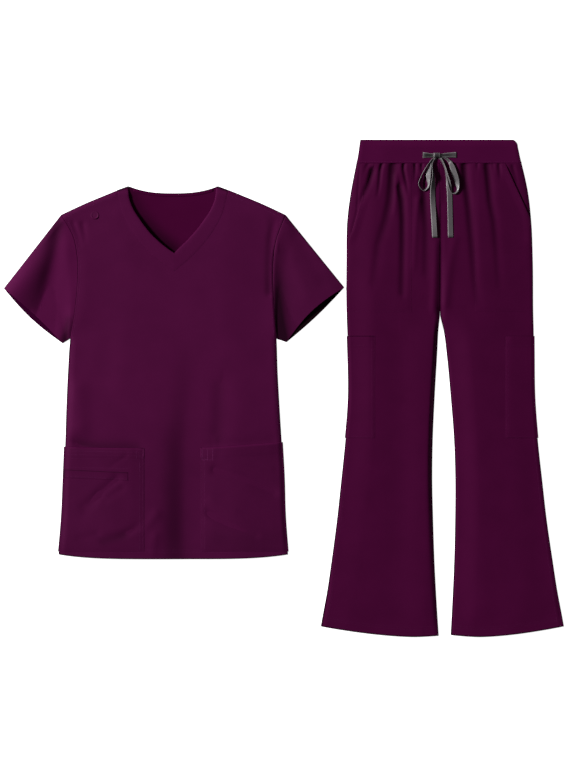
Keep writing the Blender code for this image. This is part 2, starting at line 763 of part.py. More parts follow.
KNOT_LEFT = KNOT[0] - KNOT_SIZE[0] / 2.0 - SEAM
KNOT_RIGHT = KNOT[0] + KNOT_SIZE[0] / 2.0 + SEAM
KNOT_FOOT = KNOT[1] + KNOT_SIZE[1] / 2.0 + SEAM

# Rows of x, down, lift and turn. The leads come out of the waistband's two slits.
tape("bow_lead_left", [(-33.2, 31.0, 0.1, 0), (-23.0, 31.3, 0.4, 0), (KNOT_LEFT, 32.0, 0.9, 0)])
tape("bow_lead_right", [(31.8, 29.4, 0.1, 0), (18.0, 30.3, 0.4, 0), (KNOT_RIGHT, 31.6, 0.9, 0)])
tape("bow_tail_left", [
    (-9.0, KNOT_FOOT + 2.8, 0.2, 45), (-13.2, 54.0, 0.0, 58), (-11.6, 67.0, 0.0, 58),
    (-11.2, 80.0, 0.0, 40), (-13.4, 94.0, 0.0, 10), (-14.8, 108.0, 0.0, 0),
    (-14.6, 128.0, 0.0, 0), (-12.6, 161.0, 0.0, 0), (-10.9, 191.0, 0.0, 0)])
tape("bow_tail_right", [
    (1.0, KNOT_FOOT + 2.8, 0.2, 45), (4.4, 52.0, 0.0, 55), (8.4, 62.0, 0.0, 52),
    (12.2, 75.0, 0.0, 30), (16.0, 91.0, 0.0, 5), (18.2, 108.0, 0.0, 0),
    (19.5, 147.0, 0.0, 0), (20.5, 191.0, 0.0, 0)])
tape("bow_loop_left", [
    (-17.4, 41.5, 3.2, 0), (-20.6, 56.0, 4.6, 0), (-22.6, 70.0, 4.8, 0), (-23.8, 84.0, 3.4, 8),
    (-27.0, 94.5, 0.6, 35), (-33.0, 99.0, 0.0, 60), (-39.2, 94.0, 0.0, 66), (-41.8, 85.0, 0.0, 66),
    (-39.0, 73.0, 0.0, 62), (-32.0, 61.5, 0.0, 50), (-25.5, 52.5, 0.0, 20), (-20.0, 45.0, 0.1, 0)])
tape("bow_loop_right", [
    (8.6, 37.6, 3.2, 0), (15.6, 44.5, 4.2, 0), (22.5, 57.0, 4.8, 0), (29.4, 71.0, 4.4, 0),
    (35.2, 84.0, 3.0, 5), (37.6, 94.5, 0.8, 30), (34.6, 102.5, 0.0, 58), (28.0, 103.5, 0.0, 66),
    (22.8, 97.0, 1.6, 66), (18.6, 87.0, 3.0, 66), (16.8, 75.0, 2.6, 66), (14.8, 62.0, 1.0, 62),
    (11.4, 51.0, 0.2, 45)])


def bow_knot():
    """The tied knot: a flattened, rounded bundle of tape that rests on the waistband."""
    knot = bmesh.new()
    bmesh.ops.create_cube(knot, size=MM)
    bmesh.ops.scale(knot, vec=KNOT_SIZE, verts=knot.verts[:])
    mesh = bpy.data.meshes.new("bow_knot")
    knot.to_mesh(mesh)
    knot.free()
    made = add_object("bow_knot", mesh, drawstring_tape)
    corners = [(KNOT[0] + sx * KNOT_SIZE[0] / 2.0, KNOT[1] + sy * KNOT_SIZE[1] / 2.0)
               for sx in (-1, 0, 1) for sy in (-1, 0, 1)]
    seat = max(cloth_top(x, down) for x, down in corners) + SEAM
    made.location = world(TROUSERS, *KNOT, seat + KNOT_SIZE[2] / 2.0)
    bevel = made.modifiers.new("rounded", "BEVEL")
    bevel.width = 2.4 * MM
    bevel.segments = 3


bow_knot()
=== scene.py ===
"""Medical scrubs laid flat: the cloth, thread, tape and snap of a V-neck top and its trousers.

Tables are in millimetres, in each garment's own flat frame: x runs across it from its centre line
and down runs towards its hem. Left and right are those of someone looking down on the fronts.
"""

import math
from collections import namedtuple
from functools import partial

import bpy
import numpy as np
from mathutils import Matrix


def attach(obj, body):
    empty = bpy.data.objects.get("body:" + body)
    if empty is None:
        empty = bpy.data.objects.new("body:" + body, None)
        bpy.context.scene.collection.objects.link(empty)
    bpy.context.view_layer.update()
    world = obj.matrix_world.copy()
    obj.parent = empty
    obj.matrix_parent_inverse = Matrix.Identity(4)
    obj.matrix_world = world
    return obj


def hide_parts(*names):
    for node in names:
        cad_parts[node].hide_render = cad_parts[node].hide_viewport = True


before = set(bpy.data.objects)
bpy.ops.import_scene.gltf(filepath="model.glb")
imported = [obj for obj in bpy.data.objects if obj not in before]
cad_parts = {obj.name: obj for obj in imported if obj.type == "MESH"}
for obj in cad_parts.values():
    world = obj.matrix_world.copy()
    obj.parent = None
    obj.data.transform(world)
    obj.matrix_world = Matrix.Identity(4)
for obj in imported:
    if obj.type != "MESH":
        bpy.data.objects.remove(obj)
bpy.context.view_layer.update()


# ---- Camera ------------------------------------------------------------------------------------
# A long lens hangs straight above the two garments, so that they show as flat as they lie.
# It is aimed at a point between them, near the trousers' inner edge.

MM = 0.001
PICTURE_HEIGHT = 768      # in pixels
MM_PER_PIXEL = 1.95
SENSOR = 36.0
VIEW_DEPTH = 40.0         # in metres
CAMERA_HEIGHT = 7000.0
CLOTH_LEVEL = 6.0         # height at which the scale above holds
CAMERA_X = 8.3
CAMERA_Y = 7.8


def add_object(name, data):
    """Sets a mesh, a light or a camera down in the scene, unturned and unscaled."""
    made = bpy.data.objects.new(name, data)
    bpy.context.scene.collection.objects.link(made)
    return made


camera_data = bpy.data.cameras.new("camera")
camera_data.sensor_width = SENSOR
camera_data.lens = SENSOR * (CAMERA_HEIGHT - CLOTH_LEVEL) / (PICTURE_HEIGHT * MM_PER_PIXEL)
camera_data.clip_end = VIEW_DEPTH
camera = add_object("camera", camera_data)
camera.location = (CAMERA_X * MM, CAMERA_Y * MM, CAMERA_HEIGHT * MM)
bpy.context.scene.camera = camera


# ---- Top, back panel ---------------------------------------------------------------------------
# One cut of wine twill in a stretch blend, from the shoulders to the hem, with a bound neck.
# It lies flat on the surface, and from above only its neck shows, inside the V.

Garment = namedtuple("Garment", "centre_x top_y")
TOP = Garment(-215.4, 393.9)
SIDE_NAMES = {-1: "left", 1: "right"}
UNDERSIDE = 0.2           # height of the back layer's lower side
BACK_TOP = 1.2            # height of its upper side
LAYER = 1.5               # height at which the front layer starts
PANEL = 1.2               # height that one layer takes up
CLOTH = 0.9               # thickness of the cloth that shows

ShoulderRow = namedtuple("ShoulderRow", "down half")
SHOULDERS = [
    ShoulderRow(8, 109), ShoulderRow(20, 138.3), ShoulderRow(32, 167.5),
    ShoulderRow(44, 193.8), ShoulderRow(56, 218.8),
]
SideRow = namedtuple("SideRow", "down left right")
TOP_SIDES = [
    SideRow(56, -218.8, 218.8), SideRow(78, -204.5, 210.0), SideRow(100, -194.0, 202.0),
    SideRow(122, -189.0, 197.2), SideRow(144, -186.3, 195.2), SideRow(166, -185.8, 194.4),
    SideRow(210, -188.2, 195.4), SideRow(254, -193.5, 198.0), SideRow(298, -201.1, 201.3),
    SideRow(360, -205.5, 203.4), SideRow(420, -208.3, 206.6), SideRow(500, -210.9, 211.4),
    SideRow(570, -213.7, 215.2), SideRow(640, -216.7, 217.2), SideRow(728, -224.1, 223.8),
]
SHOULDER_POINT = 56.0
SHOULDER_HALF = 218.8
UNDERARM = 298.0
TOP_HEM = 728.0
TOP_HEM_RISE = 8.6        # how far the hem is drawn up at the sides
TOP_HEM_REACH = 130.0     # height above the hem up to which the rows follow it
TOP_HEM_CURVE = 4         # power of the hem's curve
TOP_HALF = 220.0
BACK_NECK_DIP = 13.8
BACK_NECK_HALF = 87.0
NECK_CURVE = 2.6          # power of the curve of the back neck
BODY_STEP = 3.9           # spacing of the points of a large panel
TOP_CLOSE_ROWS = (1.2, 2.6, 4.5)      # extra rows, this far below its upper edge


def place(garment, x, down, z):
    """Points of a garment's flat frame, in millimetres, as points of the object in metres."""
    x, down, z = np.broadcast_arrays(x, down, z)
    return np.stack([garment.centre_x + x, garment.top_y - down, z], axis=-1) * MM


def rise(distance, reach):
    """0 at an edge, 1 from reach on, with no corner at either end."""
    t = np.clip(np.asarray(distance, float) / reach, 0.0, 1.0)
    return t * t * (3.0 - 2.0 * t)


def cubic(t, span, start, end, start_slope, end_slope):
    """Place at t, from 0 to 1, on a cubic curve with these ends and slopes."""
    first = (2 * t**3 - 3 * t**2 + 1) * start + (t**3 - 2 * t**2 + t) * span * start_slope
    return first + (3 * t**2 - 2 * t**3) * end + (t**3 - t**2) * span * end_slope


def smooth(rows, column, down):
    """One column of a table at down, on a cubic curve through the table's rows."""
    downs = np.array([row.down for row in rows], float)
    values = np.array([getattr(row, column) for row in rows], float)
    slopes = np.gradient(values, downs)
    down = np.clip(down, downs[0], downs[-1])
    i = np.clip(np.searchsorted(downs, down, side="right") - 1, 0, len(downs) - 2)
    span = downs[i + 1] - downs[i]
    t = (down - downs[i]) / span
    return cubic(t, span, values[i], values[i + 1], slopes[i], slopes[i + 1])


def top_side(side, down):
    """x of the body's left (-1) or right (1) edge: shoulder, armhole and side seam."""
    shoulder = side * smooth(SHOULDERS, "half", down)
    return np.where(down < SHOULDER_POINT, shoulder, smooth(TOP_SIDES, SIDE_NAMES[side], down))


def top_left(down):
    return top_side(-1, down)


def top_right(down):
    return top_side(1, down)


def top_hem_shift(x, down):
    """How far a row near the hem is drawn up at x, so that the rows end on the curved hem."""
    near_hem = rise(down - (TOP_HEM - TOP_HEM_REACH), TOP_HEM_REACH)
    return TOP_HEM_RISE * near_hem * np.abs(x / TOP_HALF) ** TOP_HEM_CURVE


CLEAR = 0.4               # share of a step that stays clear next to the extra places


def spaced(start, end, step, close=()):
    """Places from start to end about step apart, with extra ones close to both ends."""
    even = np.linspace(start, end, max(2, round(abs(end - start) / step) + 1))
    way = math.copysign(1.0, end - start)
    extra = [start + way * c for c in close] + [end - way * c for c in close]
    reach = max(close, default=0.0) + CLEAR * step * (len(close) > 0)
    inside = even[1:-1]
    inside = inside[(np.abs(inside - start) > reach) & (np.abs(inside - end) > reach)]
    return way * np.sort(way * np.concatenate([even[[0, -1]], extra, inside]))


# Distances of the lowest rows from the hem, closest where it is turned up and stitched.
HEM_ROWS = np.array([*range(125, 28, -4), 25.5, 22, 20, 18, 16, 14, 12, 9, 6, 3.5, 1.5, 0.0])


def top_grid(upper_edge, columns):
    """Rows and columns of a body panel, from its upper edge down to the curved hem.

    The lowest rows keep their distance to the hem, and those above share out what is left.
    """
    above = TOP_HEM - HEM_ROWS[0]
    shares = spaced(0.0, 1.0, BODY_STEP / above, close=[row / above for row in TOP_CLOSE_ROWS])
    upper = upper_edge + shares[:-1, None] * (above - upper_edge)
    lower = np.repeat(TOP_HEM - HEM_ROWS[:, None], len(columns), axis=1)
    down = np.concatenate([upper, lower])
    wide = np.maximum(down, SHOULDER_POINT)
    x = np.where(columns < 0, -columns * top_left(wide), columns * top_right(wide))
    return x, down - top_hem_shift(x, down)


# A fold is a ridge, or a trough where its heights are negative, along a route of (x, down) points.
# right is its width on the right of a route that runs down, where that differs.
Fold = namedtuple("Fold", "route width height end_height right", defaults=[None])


def from_route(route, x, down):
    """Distance of points from a route, how far along it they lie and whether on its right."""
    nearest = np.full(np.shape(x), np.inf)
    along = np.zeros(np.shape(x))
    right = np.zeros(np.shape(x), bool)
    for i, (start, end) in enumerate(zip(route, route[1:])):
        start, end = np.array(start, float), np.array(end, float)
        run = end - start
        share = np.clip(((x - start[0]) * run[0] + (down - start[1]) * run[1]) / (run @ run), 0.0, 1.0)
        off = np.hypot(x - start[0] - share * run[0], down - start[1] - share * run[1])
        closer = off < nearest
        nearest = np.where(closer, off, nearest)
        along = np.where(closer, (i + share) / (len(route) - 1), along)
        right = np.where(closer, run[0] * (down - start[1]) < run[1] * (x - start[0]), right)
    return nearest, along, right


def bell(distance, width):
    """1 at a line and less on both sides of it, next to nothing from twice its width on."""
    return np.exp(-(distance / width) ** 2)


def fold_heights(folds, x, down):
    """Sum of the heights of all folds at points: each is a bell across its route."""
    total = np.zeros(np.broadcast(x, down).shape)
    for fold in folds:
        off, along, right = from_route(fold.route, x, down)
        height = fold.height + (fold.end_height - fold.height) * along
        width = np.where(right, fold.right or fold.width, fold.width)
        total = total + height * bell(off, width)
    return total


def add_soft(name, points, faces, dark, materials):
    """Sets down a piece of smooth faces, with how much painted shade each of its points gets."""
    mesh = bpy.data.meshes.new(name)
    mesh.from_pydata(points.tolist(), [], faces)
    mesh.attributes.new("shade", "FLOAT", "POINT").data.foreach_set("value", np.ravel(dark))
    mesh.shade_smooth()
    for material in materials:
        mesh.materials.append(material)
    return add_object(name, mesh)


RIM_INSET = 0.4           # how far a rim's corners are drawn in, as a share of its thickness


def cloth_wall(name, garment, grid, material, edges=(1.0, 1.0, 1.0, 1.0), shade=0.0, pressed=False):
    """A closed wall of cloth, rounded at its rims like a fold.

    The grid is (x, down, upper, lower): arrays of rows that run down, with x growing along each
    row and the heights of the wall's two sides. edges is how much painted shade its left, lower,
    right and upper rims get, and shade how much its creases get, from 0 to 1. A pressed wall has
    crisp rims.
    """
    x, down, upper, lower = (np.array(a, float) for a in np.broadcast_arrays(*grid))
    rows, columns = x.shape
    # Painted shade on each point: edges on the rims, at half on the rows next to them, shade in creases.
    dark = np.array(np.broadcast_to(shade, x.shape), float)
    for depth, share in ((0, 1.0), (1, 0.5)):
        left, low, right, high = [share * edge for edge in edges]
        for strip, amount in ((dark[:, depth], left), (dark[-1 - depth], low),
                              (dark[:, -1 - depth], right), (dark[depth], high)):
            np.maximum(strip, amount, out=strip)
    index = np.arange(rows * columns).reshape(rows, columns)
    top = np.stack([index[:-1, :-1], index[1:, :-1], index[1:, 1:], index[:-1, 1:]], axis=-1)
    top = top.reshape(-1, 4)
    rim = np.concatenate([index[:, 0], index[-1, 1:], index[-2::-1, -1], index[0, -2:0:-1]])
    after = np.roll(rim, -1)
    flat = np.stack([x.ravel(), down.ravel()], axis=1)
    run = flat[after] - flat[rim]
    side = np.stack([-run[:, 1], run[:, 0]], axis=1)
    push = side + np.roll(side, 1, axis=0)
    push /= np.linalg.norm(push, axis=1, keepdims=True)
    thick = (upper - lower).ravel()[rim]
    middle = np.column_stack([flat[rim], upper.ravel()[rim] - thick / 2.0])
    inset = flat.copy()
    inset[rim] -= push * RIM_INSET * thick[:, None]
    count = len(flat)
    points = np.concatenate([np.column_stack([inset, upper.ravel()]),
                             np.column_stack([inset, lower.ravel()]), middle])
    at = 2 * count + np.arange(len(rim))
    beyond = np.roll(at, -1)
    quads = np.concatenate([top, top[:, ::-1] + count,
                            np.stack([after, rim, at, beyond], axis=1),
                            np.stack([beyond, at, rim + count, after + count], axis=1)])
    darkness = np.concatenate([dark.ravel(), dark.ravel(), dark.ravel()[rim]])
    wall = add_soft(name, place(garment, *points.T), quads.tolist(), darkness, [material])
    if pressed:
        on_rim = np.isin([edge.vertices[:] for edge in wall.data.edges], rim).all(axis=1)
        sharp = wall.data.attributes.new("sharp_edge", "BOOLEAN", "EDGE")
        sharp.data.foreach_set("value", on_rim)
    return wall


def dress(piece, nodes):
    """Ties a sheet of cloth to the frame and hides the nodes that it stands in for."""
    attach(piece, "root")
    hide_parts(*nodes)


def group_sockets(tree, inputs, outputs):
    """Gives a node group its named inputs and outputs, and returns the nodes that carry them."""
    for in_out, sockets in (("INPUT", inputs), ("OUTPUT", outputs)):
        for name, kind in sockets.items():
            tree.interface.new_socket(name, in_out=in_out, socket_type="NodeSocket" + kind)
    return tree.nodes.new("NodeGroupInput"), tree.nodes.new("NodeGroupOutput")


def maths_in(tree):
    """Returns a function that adds a maths node to the tree and gives its output."""
    def maths(operation, *values):
        node = tree.nodes.new("ShaderNodeMath")
        node.operation = operation
        for socket, value in zip(node.inputs, values):
            if isinstance(value, (int, float)):
                socket.default_value = value
            else:
                tree.links.new(value, socket)
        return node.outputs[0]

    return maths


def blend(tree, factor, first, second):
    """Colour that goes from first to second as factor goes from 0 to 1."""
    mix = tree.nodes.new("ShaderNodeMix")
    mix.data_type = "RGBA"
    tree.links.new(factor, mix.inputs["Factor"])
    for socket, colour in (("A", first), ("B", second)):
        if isinstance(colour, bpy.types.NodeSocket):
            tree.links.new(colour, mix.inputs[socket])
        else:
            mix.inputs[socket].default_value = (*colour, 1.0)
    return mix.outputs["Result"]


RIB_THREADS = 3.0         # threads from one rib of the twill to the next
RIB_HEIGHT = 0.26         # height of a rib, of 1 for the whole weave
YARN_HEIGHT = 0.12
MOTTLE_SCALE = 22.0


def twill_group():
    """Height of a fine right-hand twill and the mottle of its dye, from coordinates in metres."""
    tree = bpy.data.node_groups.new("twill_weave", "ShaderNodeTree")
    nodes, links = tree.nodes, tree.links
    inlet, outlet = group_sockets(tree, {"Vector": "Vector", "Threads per Metre": "Float"},
                                  {"Height": "Float", "Mottle": "Float"})
    threads = nodes.new("ShaderNodeVectorMath")
    threads.operation = "SCALE"
    links.new(inlet.outputs["Vector"], threads.inputs[0])
    links.new(inlet.outputs["Threads per Metre"], threads.inputs["Scale"])
    parts = nodes.new("ShaderNodeSeparateXYZ")
    links.new(threads.outputs[0], parts.inputs[0])
    maths = maths_in(tree)
    across, along = parts.outputs["X"], parts.outputs["Y"]
    rib = maths("SINE", maths("MULTIPLY", maths("ADD", across, along), 2.0 * math.pi / RIB_THREADS))
    warp = maths("SINE", maths("MULTIPLY", across, 2.0 * math.pi))
    weft = maths("SINE", maths("MULTIPLY", along, 2.0 * math.pi))
    yarns = maths("MULTIPLY", maths("ADD", warp, weft), YARN_HEIGHT)
    height = maths("ADD", maths("MULTIPLY_ADD", rib, RIB_HEIGHT, 0.5), yarns)
    links.new(height, outlet.inputs["Height"])
    mottle = nodes.new("ShaderNodeTexNoise")
    mottle.inputs["Scale"].default_value = MOTTLE_SCALE
    mottle.inputs["Detail"].default_value = 5.0
    links.new(inlet.outputs["Vector"], mottle.inputs["Vector"])
    links.new(mottle.outputs["Fac"], outlet.inputs["Mottle"])
    return tree


def painted_shade_group():
    """Colour of a cloth with painted shade by its point attribute "shade", at its rims and creases."""
    tree = bpy.data.node_groups.new("painted_shade_node", "ShaderNodeTree")
    inlet, outlet = group_sockets(tree, {"Colour": "Color", "Painted Shade Colour": "Color"},
                                  {"Colour": "Color"})
    shade = tree.nodes.new("ShaderNodeAttribute")
    shade.attribute_name = "shade"
    dark = blend(tree, shade.outputs["Fac"], inlet.outputs["Colour"], inlet.outputs["Painted Shade Colour"])
    tree.links.new(dark, outlet.inputs["Colour"])
    return tree


twill_weave = twill_group()
painted_shade_node = painted_shade_group()


def new_material(name, roughness, gloss):
    """A material with a plain shader; returns it, its node tree and the shader."""
    material = bpy.data.materials.new(name)
    material.use_nodes = True
    shader = material.node_tree.nodes["Principled BSDF"]
    shader.inputs["Roughness"].default_value = roughness
    shader.inputs["Specular IOR Level"].default_value = gloss
    return material, material.node_tree, shader


def weave_surface(tree, shader, colour, dark, height, relief):
    """Gives a woven surface its colour, darkened to dark by painted shade, and relief in millimetres."""
    # This node paints shade from the point attribute "shade".
    turned = tree.nodes.new("ShaderNodeGroup")
    turned.node_tree = painted_shade_node
    turned.inputs["Painted Shade Colour"].default_value = (*dark, 1.0)
    tree.links.new(colour, turned.inputs["Colour"])
    tree.links.new(turned.outputs["Colour"], shader.inputs["Base Color"])
    bump = tree.nodes.new("ShaderNodeBump")
    bump.inputs["Strength"].default_value = 0.5
    bump.inputs["Distance"].default_value = relief * MM
    tree.links.new(height, bump.inputs["Height"])
    tree.links.new(bump.outputs["Normal"], shader.inputs["Normal"])


THREADS_PER_METRE = 2300.0
TWILL_RELIEF = 0.05
PAINTED_SHADE_SHARE = 0.2         # share of its colour that cloth keeps under full painted shade


def cloth_material(name, deep, light, roughness=0.7, gloss=0.04, turn=0.0):
    """Dyed twill whose yarns vary between two colours; turn is the way its grain lies."""
    material, tree, shader = new_material(name, roughness, gloss)
    where = tree.nodes.new("ShaderNodeTexCoord")
    grain = tree.nodes.new("ShaderNodeMapping")
    grain.inputs["Rotation"].default_value = (0.0, 0.0, math.radians(turn))
    tree.links.new(where.outputs["Object"], grain.inputs["Vector"])
    weave = tree.nodes.new("ShaderNodeGroup")
    weave.node_tree = twill_weave
    weave.inputs["Threads per Metre"].default_value = THREADS_PER_METRE
    tree.links.new(grain.outputs["Vector"], weave.inputs["Vector"])
    dye = blend(tree, weave.outputs["Mottle"], deep, light)
    # Colour under full painted shade, in the deepest creases and at the rims.
    dark = [PAINTED_SHADE_SHARE * c for c in deep]
    weave_surface(tree, shader, dye, dark, weave.outputs["Height"], TWILL_RELIEF)
    return material


WINE_DEEP = (0.055, 0.0018, 0.030)
WINE_LIGHT = (0.069, 0.0030, 0.038)
INSIDE_DEEP = (0.045, 0.0006, 0.022)
INSIDE_LIGHT = (0.054, 0.0012, 0.027)
wine_twill = cloth_material("wine_twill", WINE_DEEP, WINE_LIGHT)
wine_inside = cloth_material("wine_inside", INSIDE_DEEP, INSIDE_LIGHT, roughness=0.8, gloss=0.02)

# Painted shade on the inside of the back beside the left half of the neckband, where its shadow falls.
NECK_SHADE = [Fold([(-86, 10), (-66, 58), (-40, 90), (-4, 124)], 18, 0.45, 0.80)]

back_columns = spaced(-1.0, 1.0, 0.02, close=(0.006, 0.014))
back_edge_x = np.abs(back_columns) * SHOULDER_HALF
back_neck = BACK_NECK_DIP * (1.0 - np.minimum(back_edge_x / BACK_NECK_HALF, 1.0) ** NECK_CURVE)
back_shoulder = np.interp(back_edge_x, [BACK_NECK_HALF, SHOULDERS[0].half, SHOULDER_HALF],
                          [0.0, SHOULDERS[0].down, SHOULDER_POINT])
back_x, back_down = top_grid(np.maximum(back_neck, back_shoulder), back_columns)
back_shade = np.clip(fold_heights(NECK_SHADE, back_x, back_down), 0.0, 0.9)
back_panel = cloth_wall("back_panel", TOP, (back_x, back_down, BACK_TOP, UNDERSIDE), wine_inside,
                        shade=back_shade)
dress(back_panel, ["top_back"])

BINDING_HALF = 78.0       # half its length
BINDING_WIDTH = 6.3
BINDING_INSET = 0.5       # how far it lies below the neck's edge
BINDING_SEAT = 0.05       # gap to the back below it
binding_x = spaced(-BINDING_HALF, BINDING_HALF, 3.0)
binding_edge = BACK_NECK_DIP * (1.0 - (np.abs(binding_x) / BACK_NECK_HALF) ** NECK_CURVE) + BINDING_INSET
binding_rows = np.array([0.0, 1.0, 2.5, 4.0, 5.2, BINDING_WIDTH])[:, None]
binding_crown = 0.35 + 0.15 * np.sin(np.pi * binding_rows / BINDING_WIDTH)
binding_grid = (binding_x, binding_edge + binding_rows, BACK_TOP + binding_crown, BACK_TOP + BINDING_SEAT)
# Painted shade along its rims, most along the neck's edge.
binding = cloth_wall("back_neck_binding", TOP, binding_grid, wine_inside, edges=(0.2, 0.3, 0.2, 0.5))
dress(binding, ["neckband_back"])


# ---- Top, front panel --------------------------------------------------------------------------
# The same twill, cut with a V at the neck and eased over the back layer. The shoulder seams lie
# a thumb's breadth forward, the sides and armholes are topstitched and the hem is turned twice.

NeckRow = namedtuple("NeckRow", "down half inner_down inner_half centre")
NECK_BAND = [
    NeckRow(8, 108, 0, 86, -2.2), NeckRow(32, 103.5, 24, 83.5, -2.2),
    NeckRow(56, 96.3, 45, 75.5, -2.2), NeckRow(78, 85.2, 64, 63.6, -2.2),
    NeckRow(100, 70.7, 84, 49, -2.2), NeckRow(122, 52.2, 101, 33.7, -2.0),
    NeckRow(144, 29.2, 117, 16.4, -0.9), NeckRow(166, 0, 131, 0, 1.5),
]
NECK_LAP = 1.5            # how far the front reaches under the band
SEAM = 0.3
TOP_EDGE = 2.2            # rise close to the seams
TOP_ROLL = {-1: 13.0, 1: 9.0}         # its reach at the side seams
SHOULDER_ROLL = 11.0      # its reach at the shoulder seams
TOP_DOME = 3.8            # further rise towards the middle
DOME_FROM_SIDE = 110.0    # its reach from the sides
DOME_FROM_SHOULDER = 90.0
FOLD_EASE = 18.0          # distance from the sides over which folds grow
FLAT_HEM = 60.0           # height of the strip that the pressed hem holds down
TOP_FOLDS = [
    Fold([(40, 270), (36, 340), (32, 430), (26, 500), (23, 600), (24, 727)], 28, 0.0, -5.6, 90),
    Fold([(-40, 480), (-44, 600), (-46, 720)], 40, 0.3, 1.0),
    Fold([(-120, 270), (-132, 370)], 26, -0.5, -0.9),
    Fold([(-196, 72), (-186, 100), (-184, 118)], 4, -2.2, -0.8),
    Fold([(-208, 68), (-196, 96), (-193, 116)], 4, -2.4, -0.8),
    Fold([(-176, 74), (-172, 104)], 5, -1.5, -0.5),
    Fold([(198, 72), (192, 100), (191, 160), (190, 210)], 7, -0.9, -2.4),
    Fold([(92, 390), (88, 480)], 14, -1.2, -1.4, 22),
    Fold([(-182, 505), (-150, 510), (-74, 513)], 6, -2.4, -0.8, 17),
    Fold([(76, 505), (140, 502), (200, 497)], 4, -0.8, -0.8, 10),
    Fold([(-34, 640), (-54, 668)], 9, 1.2, 0.6),
    Fold([(-188, 400), (-184, 470)], 20, 2.4, 2.4),
    Fold([(-36, 684), (-40, 716)], 9, 1.2, 1.0),
]
# The same kind of table for how much painted shade the cloth gets, from 0 to 1.
TOP_SHADE = [
    Fold([(24, 350), (8, 440), (0, 520), (0, 620), (2, 727)], 22, 0.06, 0.34),
    Fold([(188, 60), (186, 110), (184, 165), (186, 205)], 7, 0.16, 0.40),
    Fold([(-178, 504), (-150, 509), (-74, 512)], 4, 0.42, 0.30, 12),
    Fold([(90, 395), (88, 490)], 14, 0.12, 0.12),
]
LOW_SHADE = 0.12          # painted shade that darkens the cloth towards the hem


def shoulder_down(x):
    halves = [row.half for row in SHOULDERS]
    return np.interp(np.abs(x), halves, [row.down for row in SHOULDERS])


def top_height(x, down):
    """How far the front stands off where it would touch the back."""
    x, down = np.broadcast_arrays(x, down)
    from_left, from_right = x - top_left(down), top_right(down) - x
    from_side = np.minimum(from_left, from_right)
    from_shoulder = down - shoulder_down(x)
    # Down to the underarms the sleeves hold the sides up, the right one less and less.
    held = rise(UNDERARM + 12.0 - down, 30.0) * rise(from_shoulder, 12.0)
    right_held = (1.0 - 0.5 * rise(down - 105.0, 40.0)) * held
    edge = np.minimum(rise(from_left + 1.0, TOP_ROLL[-1]) + held, 1.0)
    edge = edge * np.minimum(rise(from_right + 1.0, TOP_ROLL[1]) + right_held, 1.0)
    edge = edge * rise(from_shoulder + 2.0, SHOULDER_ROLL)
    dome = rise(from_side, DOME_FROM_SIDE) * rise(from_shoulder, DOME_FROM_SHOULDER)
    flat_hem = 0.5 + 0.5 * rise(TOP_HEM - down, FLAT_HEM)
    folds = fold_heights(TOP_FOLDS, x, down) * rise(from_side + 1.0, FOLD_EASE)
    # The front swells at the right underarm and all along the left armhole.
    tucked = bell(down - 258.0, 46.0) * bell(from_right, 20.0)
    at_sleeve = rise(down - 70.0, 90.0) * rise(UNDERARM - 4.0 - down, 40.0)
    joined = 2.2 * bell(from_left, 40.0) - 0.8 * bell(from_left, 10.0)
    eased = flat_hem * (TOP_EDGE * edge + TOP_DOME * dome + folds)
    return np.maximum(eased + tucked + at_sleeve * joined, 0.0)


def top_shade(x, down):
    """Painted shade on the front, in its deepest folds and towards the hem."""
    return np.clip(fold_heights(TOP_SHADE, x, down) + LOW_SHADE * rise(down - 400.0, 160.0), 0.0, 0.9)


def top_upper(x, down):
    return LAYER + PANEL + top_height(x, down)


def front_upper_edge(columns):
    """Where each column of the front starts: on the neckband's seam or on the shoulder."""
    downs = np.linspace(8.0, 166.0, 240)
    wide = np.maximum(downs, SHOULDER_POINT)
    half = smooth(NECK_BAND, "half", downs) - NECK_LAP
    centre = smooth(NECK_BAND, "centre", downs)
    right = (centre + half) / top_right(wide)
    left = (centre - half) / -top_left(wide)
    shoulder = shoulder_down(columns * SHOULDER_HALF)
    edge = np.where(columns > 0, np.interp(columns, right[::-1], downs[::-1]),
                    np.interp(columns, left, downs))
    return np.where((columns > right[0]) | (columns < left[0]), shoulder, edge)


def patterned(name, texture, scale, first, second, roughness, gloss):
    """A material between two colours, by a texture on the piece's own coordinates.

    Returns it with its shader, the texture's node and the colour.
    """
    material, tree, shader = new_material(name, roughness, gloss)
    where = tree.nodes.new("ShaderNodeTexCoord")
    pattern = tree.nodes.new("ShaderNodeTex" + texture)
    pattern.inputs["Scale"].default_value = scale
    tree.links.new(where.outputs["Object"], pattern.inputs["Vector"])
    colour = blend(tree, pattern.outputs["Fac"], first, second)
    tree.links.new(colour, shader.inputs["Base Color"])
    return material, shader, pattern, colour


def sewn_material(name, colour, roughness):
    """Thread: dyed, twisted yarn that catches a little more light than the cloth."""
    twisted = [0.7 * c for c in colour]
    material, _, twist, _ = patterned(name, "Wave", 900.0, twisted, colour, roughness, gloss=0.08)
    twist.bands_direction = "DIAGONAL"
    return material


